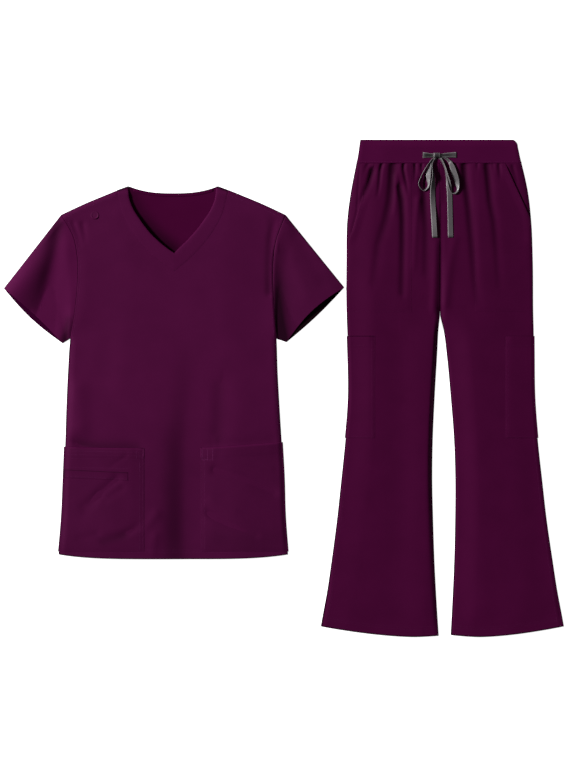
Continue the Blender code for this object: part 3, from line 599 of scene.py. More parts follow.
def stitch_nodes():
    """Geometry Nodes that lay one stitch after another along a line, each a little different."""
    tree = bpy.data.node_groups.new("lockstitch", "GeometryNodeTree")
    inlet, outlet = group_sockets(
        tree, {"Geometry": "Geometry", "Pitch": "Float", "Stitch": "Vector", "Thread": "Material"},
        {"Geometry": "Geometry"})
    line, upright, marks, bead, round_off, uneven, size, sewn, real, finish = [
        tree.nodes.new(kind) for kind in (
            "GeometryNodeMeshToCurve", "GeometryNodeSetCurveNormal", "GeometryNodeCurveToPoints",
            "GeometryNodeMeshIcoSphere", "GeometryNodeSetShadeSmooth", "FunctionNodeRandomValue",
            "ShaderNodeVectorMath", "GeometryNodeInstanceOnPoints", "GeometryNodeRealizeInstances",
            "GeometryNodeSetMaterial")]
    upright.mode = "Z_UP"
    marks.mode = "LENGTH"
    bead.inputs["Radius"].default_value = 0.5
    bead.inputs["Subdivisions"].default_value = 1
    uneven.data_type = "FLOAT_VECTOR"
    uneven.inputs["Min"].default_value = (0.85, 0.85, 0.88)
    uneven.inputs["Max"].default_value = (1.15, 1.15, 1.06)
    uneven.inputs["Seed"].default_value = 7
    size.operation = "MULTIPLY"
    for source, out, target, into in (
            (inlet, "Geometry", line, "Mesh"), (line, "Curve", upright, "Curve"),
            (upright, "Curve", marks, "Curve"), (inlet, "Pitch", marks, "Length"),
            (bead, "Mesh", round_off, "Geometry"), (marks, "Points", sewn, "Points"),
            (round_off, "Geometry", sewn, "Instance"), (marks, "Rotation", sewn, "Rotation"),
            (inlet, "Stitch", size, 0), (uneven, "Value", size, 1), (size, 0, sewn, "Scale"),
            (sewn, "Instances", real, "Geometry"), (real, "Geometry", finish, "Geometry"),
            (inlet, "Thread", finish, "Material"), (finish, "Geometry", outlet, "Geometry")):
        tree.links.new(source.outputs[out], target.inputs[into])
    return tree


lockstitch = stitch_nodes()
wine_thread = sewn_material("wine_thread", (0.115, 0.012, 0.078), 0.6)
STITCH = (0.48, 0.34, 2.2)     # width, height and length of a topstitch
PITCH = 2.75
TACK = (2.2, 0.3, 0.5)         # a bartack's stitches lie across its line
TACK_PITCH = 0.75
LINE_STEP = 3.0                # spacing of the points of a stitched line
LINE_SINK = 0.08               # how deep it lies in the cloth


def sew(name, garment, routes, upper, stitch=STITCH, pitch=PITCH, thread=wine_thread):
    """Rows of stitches along routes of (x, down) points, on the cloth whose height is upper."""
    points = []
    edges = []
    for route in routes:
        route = np.array(route, float)
        lengths = np.hypot(*np.diff(route, axis=0).T)
        reached = np.concatenate([[0.0], np.cumsum(lengths)])
        steps = np.linspace(0.0, reached[-1], max(2, int(reached[-1] / LINE_STEP)))
        x = np.interp(steps, reached, route[:, 0])
        down = np.interp(steps, reached, route[:, 1])
        first = len(points)
        points.extend(place(garment, x, down, upper(x, down) - LINE_SINK).tolist())
        edges.extend((i, i + 1) for i in range(first, len(points) - 1))
    mesh = bpy.data.meshes.new(name + "_line")
    mesh.from_pydata(points, edges, [])
    line = add_object(name + "_line", mesh)
    modifier = line.modifiers.new("lockstitch", "NODES")
    modifier.node_group = lockstitch
    values = {"Pitch": pitch * MM, "Stitch": [s * MM for s in stitch], "Thread": thread}
    for item in lockstitch.interface.items_tree:
        if item.in_out == "INPUT" and item.name in values:
            modifier[item.identifier] = values[item.name]
    evaluated = line.evaluated_get(bpy.context.evaluated_depsgraph_get())
    sewn = add_object(name, bpy.data.meshes.new_from_object(evaluated))
    sewn.data.name = name
    bpy.data.objects.remove(line, do_unlink=True)
    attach(sewn, "root")


front_columns = spaced(-1.0, 1.0, BODY_STEP / TOP_HALF, close=(0.006, 0.012, 0.02, 0.03))
front_x, front_down = top_grid(front_upper_edge(front_columns), front_columns)
front_upper = top_upper(front_x, front_down)
above_underarm = front_down[:, 0] < UNDERARM
# Painted shade on the rims: strong below the underarms and at the hem, light on the shoulders.
seam_painted_shade = np.where(above_underarm, 0.3 * rise(front_down[:, 0] - 100.0, 30.0), 1.0)
front_rim_painted_shade = (np.where(above_underarm, 0.0, 1.4), 1.0, seam_painted_shade,
               np.where(np.abs(front_x[0]) < 112.0, 0.0, 0.6))
front_panel = cloth_wall("front_panel", TOP, (front_x, front_down, front_upper, front_upper - CLOTH),
                         wine_twill, edges=front_rim_painted_shade, shade=top_shade(front_x, front_down))
dress(front_panel, ["top_front"])

HEM_STITCHES = (13.4, 18.2)
ARMHOLE_STITCH = 4.6
SHOULDER_STITCH = 9.5


def hem_route(distance, start, end):
    x = np.linspace(start, end, 90)
    return np.column_stack([x, TOP_HEM - distance - top_hem_shift(x, TOP_HEM - distance)])


def side_route(edge, inset, start, end, count=60):
    """A line beside an edge, inset from it to the right."""
    down = np.linspace(start, end, count)
    return np.column_stack([edge(down) + inset, down])


hem_routes = [hem_route(d, -219.0, 218.5) for d in HEM_STITCHES]
armhole_routes = [side_route(top_left, ARMHOLE_STITCH, 62.0, UNDERARM),
                  side_route(top_right, -ARMHOLE_STITCH, 62.0, UNDERARM)]
side_routes = [side_route(top_left, 5.5, UNDERARM + 4.0, 508.0),
               side_route(top_right, -5.5, UNDERARM + 4.0, 494.0)]
shoulder_x = np.linspace(111.0, 210.0, 40)
shoulder_line = shoulder_down(shoulder_x) + SHOULDER_STITCH + rise(shoulder_x - 190, 30) * 2
shoulder_routes = [np.column_stack([side * shoulder_x, shoulder_line]) for side in SIDE_NAMES]
sew("front_hem_stitches", TOP, hem_routes, top_upper)
sew("front_seam_stitches", TOP, armhole_routes + side_routes + shoulder_routes, top_upper)


# ---- Top, V neckband ---------------------------------------------------------------------------
# A doubled strip of the same twill on each side, folded at the neck's edge, lapped over the front
# and mitred at the point of the V. It stands off the back and throws a narrow shadow on the left.

BAND_SHARES = np.array([0.0, 0.008, 0.04, 0.08, 0.13, 0.3, 0.5, 0.7, 0.85, 0.94, 1.0])
BAND_LIES = 0.20          # how far the band's upper side lies above the front's at its seam
BAND_THIN = 0.13          # thickness there
BAND_THICK = 1.3          # thickness towards its fold
BAND_STITCH = (0.34, 0.2, 2.0)
MITRE = 0.05              # half the gap between the two halves at the point of the V


def band_point(side, down, share):
    """Point of one half of the band, from its seam at share 0 to its fold at share 1."""
    outer_x = smooth(NECK_BAND, "half", down)
    inner_x = smooth(NECK_BAND, "inner_half", down)
    inner_down = smooth(NECK_BAND, "inner_down", down)
    x = np.maximum(outer_x + (inner_x - outer_x) * share, MITRE)
    return smooth(NECK_BAND, "centre", down) + side * x, down + (inner_down - down) * share


def band_upper(x, down):
    return top_upper(x, down) + BAND_LIES


def band_sewn(x, down):
    return band_upper(x, down) + 0.18


band_downs = spaced(8.0, 166.0, 2.6)[:, None]
band_shape = 0.2 * rise(BAND_SHARES, 0.14) + 0.3 * rise(BAND_SHARES - 0.2, 0.5)
band_fold = 0.5 * rise(BAND_SHARES - 0.9, 0.1)
band_full = (BAND_THICK - 0.33) * rise(BAND_SHARES - 0.14, 0.15) * rise(165.0 - band_downs, 14.0)
band_thick = BAND_THIN + 0.2 * rise(BAND_SHARES, 0.14) + band_full
for side, name in SIDE_NAMES.items():
    x, down = band_point(side, band_downs, BAND_SHARES)
    from_mitre = rise(np.abs(x - smooth(NECK_BAND, "centre", band_downs)) - MITRE, 3.0)
    upper = band_upper(x, down) + band_shape - band_fold * from_mitre
    grid = [x, down, upper, upper - BAND_THIN - (band_thick - BAND_THIN) * from_mitre]
    # Painted shade along each half's upper end, and a trace along the left half's seam.
    edges = (0.1, 0.0, 0.0, 1.0)
    if side > 0:
        grid = [a[:, ::-1] for a in grid]
        edges = (0.0, 0.0, 0.0, 1.0)
    band = cloth_wall("neck_band_" + name, TOP, grid, wine_twill, edges=edges, pressed=True)
    dress(band, ["neckband_" + name])

band_stitch_downs = np.linspace(14.0, 150.0, 60)
band_routes = [np.column_stack(band_point(side, band_stitch_downs, share))
               for side in SIDE_NAMES for share in (0.12, 0.9)]
sew("neck_band_stitches", TOP, band_routes, band_sewn, stitch=BAND_STITCH)


# ---- Top, sleeves ------------------------------------------------------------------------------
# Short set-in sleeves, each a tube of twill that lies flattened, with a hem turned up inside. The
# front of each cuff arches off the back, so its mouth stands open.

Cuff = namedtuple("Cuff", "tip_x tip_down corner_x corner_down back_bow front_bow")
CUFFS = {-1: Cuff(-331.0, 199.4, -216.0, 306.9, 6.5, -3.5),
         1: Cuff(333.6, 197.6, 220.4, 304.8, 3.4, -10.0)}
SLEEVE_ARCH = {-1: 7.6, 1: 4.2}       # height of the front at the highest point of each cuff
SLEEVE_SKEW = {-1: 4.2, 1: 1.6}       # above 1, the arch leans towards the shoulder
SLEEVE_NARROW = {-1: 0.4, 1: 0.3}     # share of the arch that is there at the armhole
SLEEVE_JOIN = {-1: 0.55, 1: 0.25}     # share of its length over which it comes down from the body
SLEEVE_EASE = {-1: 0.22, 1: 0.05}     # share of its length over which it stands up
SLEEVE_LAP = 1.6                      # how far the front reaches under the body's edge
SLEEVE_RINGS = 48
SLEEVE_COLUMNS = 72
SLEEVE_FOLDS = {
    -1: [Fold([(-221, 66), (-232, 140), (-245, 193), (-258, 277)], 15, -4.2, -2.6, 20),
         Fold([(-190, 130), (-190, 200), (-198, 290)], 34, 0.0, 1.2)],
    1: [Fold([(206, 140), (209, 222), (213, 300)], 12, -0.8, -2.6, 44),
        Fold([(226, 90), (236, 150), (262, 215)], 12, 0.6, 0.4),
        Fold([(256, 120), (292, 190)], 12, -0.6, -0.5)],
}
# Painted shade on each sleeve's front, in the same kind of table, from 0 to 1.
SLEEVE_SHADE = {
    -1: [Fold([(-224, 74), (-241, 134), (-263, 193), (-276, 232)], 25, 0.56, 0.42, 11),
         Fold([(-204, 262), (-212, 300)], 9, 0.35, 0.85)],
    1: [Fold([(202, 130), (201, 190), (201, 245), (206, 305)], 6, 0.2, 1.1, 15),
        Fold([(204, 200), (206, 262), (212, 300)], 6, 0.2, 0.6, 19)],
}
SLEEVE_PAINTED_SHADE = {-1: 0.0, 1: 0.12}      # painted shade all over the right one, which turns a little away from the light
SLEEVE_PAINTED_LIGHT = {-1: 1.18, 1: 1.0}     # painted light: the left one's colours are made lighter, for the light its bias grain catches
SLEEVE_GRAIN = {-1: 43.0, 1: -43.0}
SLEEVE_HEM_STITCH = 24.0
SEAM_ALLOWANCE = 0.35     # thickness of the edge that is tucked under the body


def sleeve_points(side, along, share):
    """Back and front points at along, from armhole to cuff, and share, from underarm to shoulder."""
    cuff = CUFFS[side]
    start_down = UNDERARM + (SHOULDER_POINT - UNDERARM) * share
    start_x = top_side(side, start_down) + side * SEAM
    hem_x, hem_down = cuff.tip_x - cuff.corner_x, cuff.tip_down - cuff.corner_down
    length = math.hypot(hem_x, hem_down)
    out_x, out_down = side * abs(hem_down) / length, abs(hem_x) / length
    bow = np.sin(np.pi * share)

    def layer(cuff_bow):
        end_x = cuff.corner_x + hem_x * share + out_x * cuff_bow * bow
        end_down = cuff.corner_down + hem_down * share + out_down * cuff_bow * bow
        return start_x + (end_x - start_x) * along, start_down + (end_down - start_down) * along

    back_x, back_down = layer(cuff.back_bow)
    front_x, front_down = layer(cuff.front_bow)
    narrow = SLEEVE_NARROW[side]
    arch = SLEEVE_ARCH[side] * (narrow + (1.0 - narrow) * rise(along, 0.8))
    arch = arch * np.sin(np.pi * share ** SLEEVE_SKEW[side])
    folds = fold_heights(SLEEVE_FOLDS[side], front_x, front_down)
    folds = folds * rise(share, 0.1) * rise(1.0 - share, 0.06)
    body_edge = top_height(start_x - side * 0.4, start_down)
    joined = body_edge * (1.0 - rise(along, SLEEVE_JOIN[side])) * rise(1.0 - share, 0.03)
    loft = np.maximum(joined + (arch + folds) * rise(along + 0.01, SLEEVE_EASE[side]), 0.0)
    loft = loft + np.minimum(body_edge - 1.2 - loft, 0.0) * (1.0 - rise(along - 0.002, 0.007))
    front_x = front_x - side * SLEEVE_LAP * (1.0 - rise(along, 0.010))
    return (back_x, back_down), (front_x, front_down, loft)


TUBE_LOW = 0.15           # height of a tube's underside
TUBE_INSET = 0.6          # how far its layers end inside its edges
TUBE_ROUND = 0.5          # how far its rounded sides stand out from there


def flattened_tube(name, garment, back, front, lofts, materials, thick=CLOTH, ends=(0.0, 0.0), shade=0.0):
    """A tube of cloth that lies flat, through rows of back and front points side by side.

    back is (x, down) and front is (x, down), as arrays with a row for each ring. materials are those
    outside and inside, thick is the front's thickness, ends is how much painted shade the end rings
    get and shade how much the front's creases get. Its rounded sides get full painted shade.
    """
    (back_x, back_down), (front_x, front_down) = back, front
    along_x, along_down = back_x[:, -1] - back_x[:, 0], back_down[:, -1] - back_down[:, 0]
    across = np.stack([along_x, along_down], axis=1)
    across /= np.linalg.norm(across, axis=1, keepdims=True)
    first, last = np.zeros(back_x.shape[1]), np.zeros(back_x.shape[1])
    first[0], last[-1] = 1.0, 1.0

    def moved(x, down, out):
        return x + across[:, :1] * out, down + across[:, 1:] * out

    def ring(grow, low, high):
        """Points round the tube: the back from start to end, a rounded side, and the front back."""
        out = grow * (last - first)
        middle = np.full((len(back_x), 1), (low + high) / 2.0)
        front = [values[:, ::-1] for values in (*moved(front_x, front_down, out), high + lofts)]
        parts = [(*moved(back_x, back_down, out), np.full(back_x.shape, low)),
                 (*moved(back_x[:, -1:], back_down[:, -1:], grow + TUBE_ROUND), middle), front,
                 (*moved(back_x[:, :1], back_down[:, :1], -grow - TUBE_ROUND), middle)]
        return [np.concatenate(values, axis=1) for values in zip(*parts)]

    thick = np.broadcast_to(thick, (len(back_x), 1))
    outer = ring(-TUBE_INSET, TUBE_LOW, LAYER + PANEL)
    inner = ring(-TUBE_INSET - CLOTH, TUBE_LOW + CLOTH, LAYER + PANEL - thick)
    rings, around = outer[0].shape
    points = np.concatenate([place(garment, *layer).reshape(-1, 3) for layer in (outer, inner)])
    index = np.arange(rings * around).reshape(rings, around)
    onward = np.roll(index, -1, axis=1)
    shift = rings * around
    skin = np.stack([index[:-1], onward[:-1], onward[1:], index[1:]], axis=-1).reshape(-1, 4)
    caps = [np.stack([onward[0], index[0], index[0] + shift, onward[0] + shift], axis=-1),
            np.stack([index[-1], onward[-1], onward[-1] + shift, index[-1] + shift], axis=-1)]
    quads = np.concatenate([skin, *caps, skin[:, ::-1] + shift])
    dark = np.zeros((2, rings, around))
    width = back_x.shape[1]
    dark[0, :, width + 1:-1] = np.broadcast_to(shade, back_x.shape)[:, ::-1]
    # Full painted shade along the rounded sides, half on the columns next to them.
    dark[:, :, [width, around - 1]] = 1.0
    rims = dark[:, :, [0, width - 1, width + 1, around - 2]]
    dark[:, :, [0, width - 1, width + 1, around - 2]] = np.maximum(rims, 0.5)
    for at, near, amount in ((0, 1, ends[0]), (-1, -2, ends[1])):
        dark[:, at] = np.maximum(dark[:, at], amount)
        dark[:, near] = np.maximum(dark[:, near], 0.5 * amount)
    inside = np.zeros(len(quads), int)
    inside[-len(skin):] = 1
    tube = add_soft(name, points, quads.tolist(), dark, materials)
    tube.data.polygons.foreach_set("material_index", inside)
    return tube


# Colours for the cuffs' insides: near-black painted shade, and a lighter painted shade.
DEEP_SHADE_DARKER = (0.005, 0.002, 0.003)
DEEP_SHADE_LIGHTER = (0.009, 0.003, 0.005)
OPEN_SHADE_DARKER = (0.028, 0.001, 0.016)
OPEN_SHADE_LIGHTER = (0.034, 0.001, 0.020)
wine_painted_shade_deep = cloth_material("wine_painted_shade_deep", DEEP_SHADE_DARKER, DEEP_SHADE_LIGHTER, roughness=0.9, gloss=0.0)
wine_painted_shade_open = cloth_material("wine_painted_shade_open", OPEN_SHADE_DARKER, OPEN_SHADE_LIGHTER, roughness=0.9, gloss=0.0)
SLEEVE_INSIDE = {-1: wine_painted_shade_open, 1: wine_painted_shade_deep}      # painted shade inside each cuff; the left cuff lies more open to the light and gets less

for side, name in SIDE_NAMES.items():
    along = spaced(0.0, 1.0, 1.0 / SLEEVE_RINGS, close=(0.003, 0.006, 0.009, 0.012, 0.018))[:, None]
    share = np.linspace(0.0, 1.0, SLEEVE_COLUMNS)[None, :]
    back, (x, down, loft) = sleeve_points(side, along, share)
    # Painted light: each sleeve gets its own copy of the twill, made lighter on the left.
    painted_light = SLEEVE_PAINTED_LIGHT[side]
    turned = cloth_material("wine_sleeve_" + name, [painted_light * c for c in WINE_DEEP],
                            [painted_light * c for c in WINE_LIGHT], turn=SLEEVE_GRAIN[side])
    thick = SEAM_ALLOWANCE + (CLOTH - SEAM_ALLOWANCE) * rise(along - 0.012, 0.02)
    # Painted shade on the sleeve's front, in its folds and all over the right one.
    shade = np.clip(fold_heights(SLEEVE_SHADE[side], x, down) + SLEEVE_PAINTED_SHADE[side], 0.0, 0.95)
    piece = flattened_tube("sleeve_tube_" + name, TOP, back, (x, down), loft,
                           [turned, SLEEVE_INSIDE[side]], thick, shade=shade)
    dress(piece, ["sleeve_" + name])

    hem_along = 1.0 - SLEEVE_HEM_STITCH / 130.0
    _, (x, down, loft) = sleeve_points(side, np.full(60, hem_along), np.linspace(0.02, 0.98, 60))
    order = np.argsort(x)
    sew("sleeve_hem_stitches_" + name, TOP, [np.column_stack([x, down])],
        lambda at_x, at_down: LAYER + PANEL + np.interp(at_x, x[order], loft[order]) - 0.1)


# ---- Top, patch pockets ------------------------------------------------------------------------
# Two large patches of the same twill with turned mouths, held by two rows of stitches and boxed
# bartacks. The left one has a second mouth, cut below the first and faced with a narrow strip.

POCKET_BOTTOM = 713.0
POCKET_OVERHANG = 2.4
# folds lists a pocket's creases, and shades the painted shade on it.
Pocket = namedtuple("Pocket", "inner mouth_outer mouth_inner lip folds shades")
POCKETS = {
    -1: Pocket(-57.0, 508.2, 511.0, 2.0, [
        Fold([(-92, 526), (-122, 547)], 4, -0.6, -0.3),
        Fold([(-110, 571), (-174, 624)], 9, -1.9, -0.9),
        Fold([(-100, 589), (-133, 612)], 8, -1.0, -0.7),
        Fold([(-145, 604), (-172, 638)], 9, -1.0, -0.5),
        Fold([(-67, 665), (-100, 681), (-137, 692)], 8, -2.0, -0.9),
        Fold([(-149, 679), (-182, 688)], 8, -0.9, -0.5),
        Fold([(-36, 640), (-52, 662)], 6, 0.8, 0.5)],
        [Fold([(-98, 682), (-136, 694)], 8, 0.30, 0.20)]),
    1: Pocket(53.0, 499.5, 510.5, 1.6, [
        Fold([(62, 636), (110, 660), (160, 681)], 8, -3.2, -1.2),
        Fold([(82, 554), (140, 572), (198, 597)], 10, -2.0, -1.8),
        Fold([(70, 612), (120, 632)], 8, 0.8, 0.4),
        Fold([(100, 530), (190, 548)], 9, 0.6, 0.4)],
        [Fold([(90, 690), (200, 700)], 30, 0.12, 0.12)]),
}
MOUTH_OUTER = 213.0       # where the mouth's outer height is given
MOUTH_GAPE = 1.3          # how far the mouth stands open
POCKET_SHADE = 0.16       # painted shade that makes the pockets a little darker than the front
POCKET_CLOTH = 0.8
POCKET_SEAT = 0.05        # gap to the cloth below
POCKET_SEWN = 0.42        # rise at its seams
POCKET_FULL = 0.4         # further rise inside them
MOUTH_BAND = 19.5         # height of the turned mouth
MOUTH_BAND_RISE = 0.3


def pocket_mouth(side, x):
    """Where a pocket's mouth lies at x, on a line from its inner corner to the side seam."""
    pocket = POCKETS[side]
    return np.interp(side * x, [side * pocket.inner, MOUTH_OUTER],
                     [pocket.mouth_inner, pocket.mouth_outer])


def pocket_upper(side, x, down):
    """Height of a pocket's upper side: flat along its seams, easing open towards its mouth."""
    pocket = POCKETS[side]
    from_inner = side * (x - pocket.inner)
    from_outer = side * (top_side(side, down) - x)
    from_mouth = down - pocket_mouth(side, x)
    eased = rise(from_inner - 2.0, 26.0) * rise(from_outer + 2.0, 30.0)
    eased = eased * rise(POCKET_BOTTOM - down, 40.0)
    gape = MOUTH_GAPE * (1.0 - 0.8 * rise(from_mouth, 40.0))
    rolled = pocket.lip * (1.0 - rise(from_mouth, 2.6))
    creases = fold_heights(pocket.folds, x, down)
    sewn = POCKET_SEWN + POCKET_FULL * rise(from_inner - 1.0, 8.0)
    sewn = sewn * (0.4 + 0.6 * rise(POCKET_BOTTOM - down, 7.0))
    band = MOUTH_BAND_RISE * (1.0 - rise(from_mouth - MOUTH_BAND, 2.0))
    return top_upper(x, down) + sewn + band + eased * (gape + POCKET_FULL + creases - rolled)


def level(value):
    """An edge that stays at one value."""
    return lambda at: np.full(np.shape(at), value)


def patch_grid(side, upper, rests_upper, inner, outer, mouth, bottom, step=3.0):
    """Grid of a patch between two edges, from its mouth to its bottom, on the cloth below it."""
    start, end = (outer, inner) if side < 0 else (inner, outer)
    rows = spaced(0.0, 1.0, step / 200.0, close=(0.001, 0.007, 0.015, 0.025))[:, None]
    columns = spaced(0.0, 1.0, step / 160.0, close=(0.0015, 0.009, 0.018, 0.03))
    guess = start(bottom) + (end(bottom) - start(bottom)) * columns
    edge = mouth(guess)
    down = edge + (bottom - edge) * rows
    x = start(down) + (end(down) - start(down)) * columns
    top = upper(x, down)
    low = np.maximum(top - POCKET_CLOTH, rests_upper(x, down) + POCKET_SEAT)
    return x, down, top, np.minimum(low, top - 0.06)


for side, name in SIDE_NAMES.items():
    pocket = POCKETS[side]
    grid = patch_grid(side, partial(pocket_upper, side), top_upper, level(pocket.inner),
                      lambda down: top_side(side, down) + side * POCKET_OVERHANG,
                      partial(pocket_mouth, side), POCKET_BOTTOM)
    x, down = grid[:2]
    # Painted shade all over the pocket but its lip, and in its creases; its side rims get some too.
    dark = POCKET_SHADE * rise(down - pocket_mouth(side, x), 3.5) + fold_heights(pocket.shades, x, down)
    patch = cloth_wall("patch_pocket_" + name, TOP, grid, wine_twill, shade=dark,
                       edges=(1.4, 0.0, 0.3, 0.0) if side < 0 else (0.0, 0.0, 1.0, 0.0))
    dress(patch, ["pocket_" + name])

WELT_ENDS = (-213.0, -88.0)
WELT_UPPER = (552.8, 558.5)           # where its upper and lower edges lie at its two ends
WELT_LOWER = (569.5, 574.5)
WELT_FADE = 9.0           # distance from its inner end over which it starts to stand up
WELT_CLOTH = 0.25
welt_rows = np.array([0.0, 0.06, 0.14, 0.4, 0.7, 0.9, 1.0])[:, None]
welt_columns = spaced(0.0, 1.0, 0.03, close=(0.012, 0.02))
welt_x = WELT_ENDS[0] + (WELT_ENDS[1] - WELT_ENDS[0]) * welt_columns
welt_start = np.interp(welt_x, WELT_ENDS, WELT_UPPER)
welt_down = welt_start + (np.interp(welt_x, WELT_ENDS, WELT_LOWER) - welt_start) * welt_rows
welt_x = np.maximum(welt_x, top_left(welt_down) - POCKET_OVERHANG)
welt_stand = 0.3 - 0.2 * rise(welt_rows - 0.3, 0.7) + 0.5 * (1.0 - rise(welt_rows, 0.35))
welt_stand = 0.08 + (welt_stand - 0.08) * rise(WELT_ENDS[1] - welt_x, WELT_FADE)
welt_top = pocket_upper(-1, welt_x, welt_down) + welt_stand
# Painted shade all over the welt, as on the pocket, and on its left and upper rims.
welt = cloth_wall("pocket_welt_left", TOP, (welt_x, welt_down, welt_top, welt_top - WELT_CLOTH),
                  wine_twill, edges=(1.0, 0.0, 0.0, 0.9), shade=POCKET_SHADE)
dress(welt, ["pocket_left_welt"])

sew("pocket_stitches_left", TOP, [
    [(-59.3, 512.0), (-59.3, 711.0)], [(-65.2, 512.0), (-65.2, 711.0)],
    [(-210.0, 516.5), (-62.0, 519.5)], [(-210.0, 523.5), (-62.0, 526.5)],
    [(-210.0, 530.5), (-62.0, 533.5)], [(-213.0, 548.6), (-88.0, 551.0)]], partial(pocket_upper, -1))
sew("pocket_welt_stitches", TOP, [[(-209.0, 566.5), (-90.0, 571.5)]],
    lambda x, down: pocket_upper(-1, x, down) + 0.6)
sew("pocket_stitches_right", TOP, [
    [(55.3, 513.0), (55.3, 711.0)], [(61.2, 530.0), (61.2, 711.0)]], partial(pocket_upper, 1))
sew("pocket_tacks_left", TOP, [[(-71.5, 512.5), (-71.5, 530.5)], [(-59.5, 512.5), (-59.5, 530.5)],
                               [(-65.5, 541.0), (-65.5, 556.0)]],
    partial(pocket_upper, -1), stitch=TACK, pitch=TACK_PITCH)
sew("pocket_tacks_right", TOP, [[(57.0, 514.0), (57.0, 534.0)], [(67.0, 513.5), (67.0, 534.0)],
                                [(77.0, 513.0), (77.0, 534.0)], [(57.0, 534.0), (77.0, 534.0)]],
    partial(pocket_upper, 1), stitch=TACK, pitch=TACK_PITCH)


# ---- Top, shoulder snap ------------------------------------------------------------------------
# A round press stud in dyed plastic on the left shoulder, 16 mm wide: a low cap whose rolled rim
# stands up most towards the chest, set through the cloth. It stays closed.

SNAP_X = -153.0
SNAP_DOWN = 57.0
SNAP_TILT = 80.0          # degrees from across towards the hem in which the rim stands highest
SNAP_PROFILE = [(0.0, 0.25), (2.5, 0.22), (4.4, 0.12), (5.4, 0.45), (6.1, 1.05), (6.7, 1.35),
                (7.2, 1.2), (7.7, 0.6), (8.0, 0.0), (5.0, -0.08), (0.0, -0.08)]
SNAP_SIDES = 56
SNAP_SEAT = 0.18          # how far its base stands above the cloth
SNAP_LOW = 0.06           # share of its height that the rim has where it is lowest
SNAP_DEEP = (0.055, 0.0022, 0.030)
SNAP_LIGHT = (0.067, 0.0032, 0.037)
wine_plastic = patterned("wine_plastic", "Noise", 900.0, SNAP_DEEP, SNAP_LIGHT, 0.6, 0.05)[0]

turns = np.linspace(0.0, 2.0 * math.pi, SNAP_SIDES, endpoint=False)
snap_stand = (0.5 + 0.5 * np.cos(-turns - math.radians(SNAP_TILT))) ** 1.4
snap_stand = SNAP_LOW + (1.0 - SNAP_LOW) * snap_stand
snap_points = []
for radius, height in SNAP_PROFILE:
    around = turns if radius > 0.0 else turns[:1]
    x, down = SNAP_X + radius * np.cos(around), SNAP_DOWN - radius * np.sin(around)
    stand = snap_stand * max(height, 0.0) + min(height, 0.0) if radius > 0.0 else height
    snap_points.append(place(TOP, x, down, top_upper(x, down) + SNAP_SEAT + stand))
ring_count = len(SNAP_PROFILE) - 2
snap_faces = []
for j in range(SNAP_SIDES):
    k = (j + 1) % SNAP_SIDES
    snap_faces.append([0, 1 + j, 1 + k])
    for ring in range(ring_count - 1):
        start = 1 + ring * SNAP_SIDES
        snap_faces.append([start + j, start + SNAP_SIDES + j, start + SNAP_SIDES + k, start + k])
    last = 1 + (ring_count - 1) * SNAP_SIDES
    snap_faces.append([last + k, last + j, last + SNAP_SIDES])
snap_mesh = bpy.data.meshes.new("snap_cap")
snap_mesh.from_pydata(np.concatenate(snap_points).tolist(), [], snap_faces)
snap_mesh.shade_smooth()
snap_mesh.materials.append(wine_plastic)
snap_cap = add_object("snap_cap", snap_mesh)
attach(snap_cap, "root")
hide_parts("shoulder_snap")


# ---- Trousers, leg backs -----------------------------------------------------------------------
# Two cuts of the same twill, joined by the seat seam. They lie flat on the surface, each with a
# hem turned up inside.

TROUSERS = Garment(304.7, 484.6)
LegRow = namedtuple("LegRow", "down outer_left inner_left inner_right outer_right")
LEGS = [
    LegRow(46, -163.0, 0, 0, 159.3), LegRow(69, -167.6, 0, 0, 164.9),
    LegRow(98, -173.1, 0, 0, 171.0), LegRow(157, -180.8, 0, 0, 178.0),
    LegRow(235, -182.4, 0, 0, 181.2), LegRow(342, -182.1, 0, 0, 182.2),
    LegRow(371, -181.0, -3.0, 7.2, 182.9), LegRow(410, -179.6, -5.0, 12.3, 183.3),
    LegRow(508, -178.4, -10.6, 21.6, 184.9), LegRow(586, -184.5, -14.0, 27.6, 191.0),
    LegRow(664, -192.5, -15.0, 30.0, 199.5), LegRow(742, -200.9, -13.3, 29.6, 208.4),
    LegRow(820, -211.0, -10.8, 27.9, 219.6), LegRow(898, -220.9, -6.9, 24.6, 230.1),
    LegRow(970.5, -232.5, -2.4, 20.9, 242.0),
]
WAIST_SEAM = 46.0
CROTCH = 342.0
TROUSER_HEM = 970.5
TROUSER_HEM_RISE = 21.0   # how far the hem is drawn up at the side seams
TROUSER_HEM_REACH = 180.0             # height above the hem up to which the rows follow it
TROUSER_HEM_CURVE = 1.6               # power of the hem's curve
HEM_LOWEST = {-1: -50.7, 1: 78.0}     # x at which each hem hangs lowest
HEM_REACH = {-1: 184.0, 1: 165.0}     # distance from there to its side seam
BACK_LAP = 1.2            # how far each back reaches under its neighbour, above the crotch


def leg_outer(side, down):
    return smooth(LEGS, "outer_" + SIDE_NAMES[side], down)


def leg_inner(side, down):
    below = [row for row in LEGS if row.down >= CROTCH]
    inner = smooth(below, "inner_" + SIDE_NAMES[side], down)
    return side * np.maximum(side * inner, SEAM / 2.0)


def leg_hem_shift(side, x, down):
    near_hem = rise(down - (TROUSER_HEM - TROUSER_HEM_REACH), TROUSER_HEM_REACH)
    from_lowest = np.abs(x - HEM_LOWEST[side]) / HEM_REACH[side]
    return TROUSER_HEM_RISE * near_hem * from_lowest ** TROUSER_HEM_CURVE


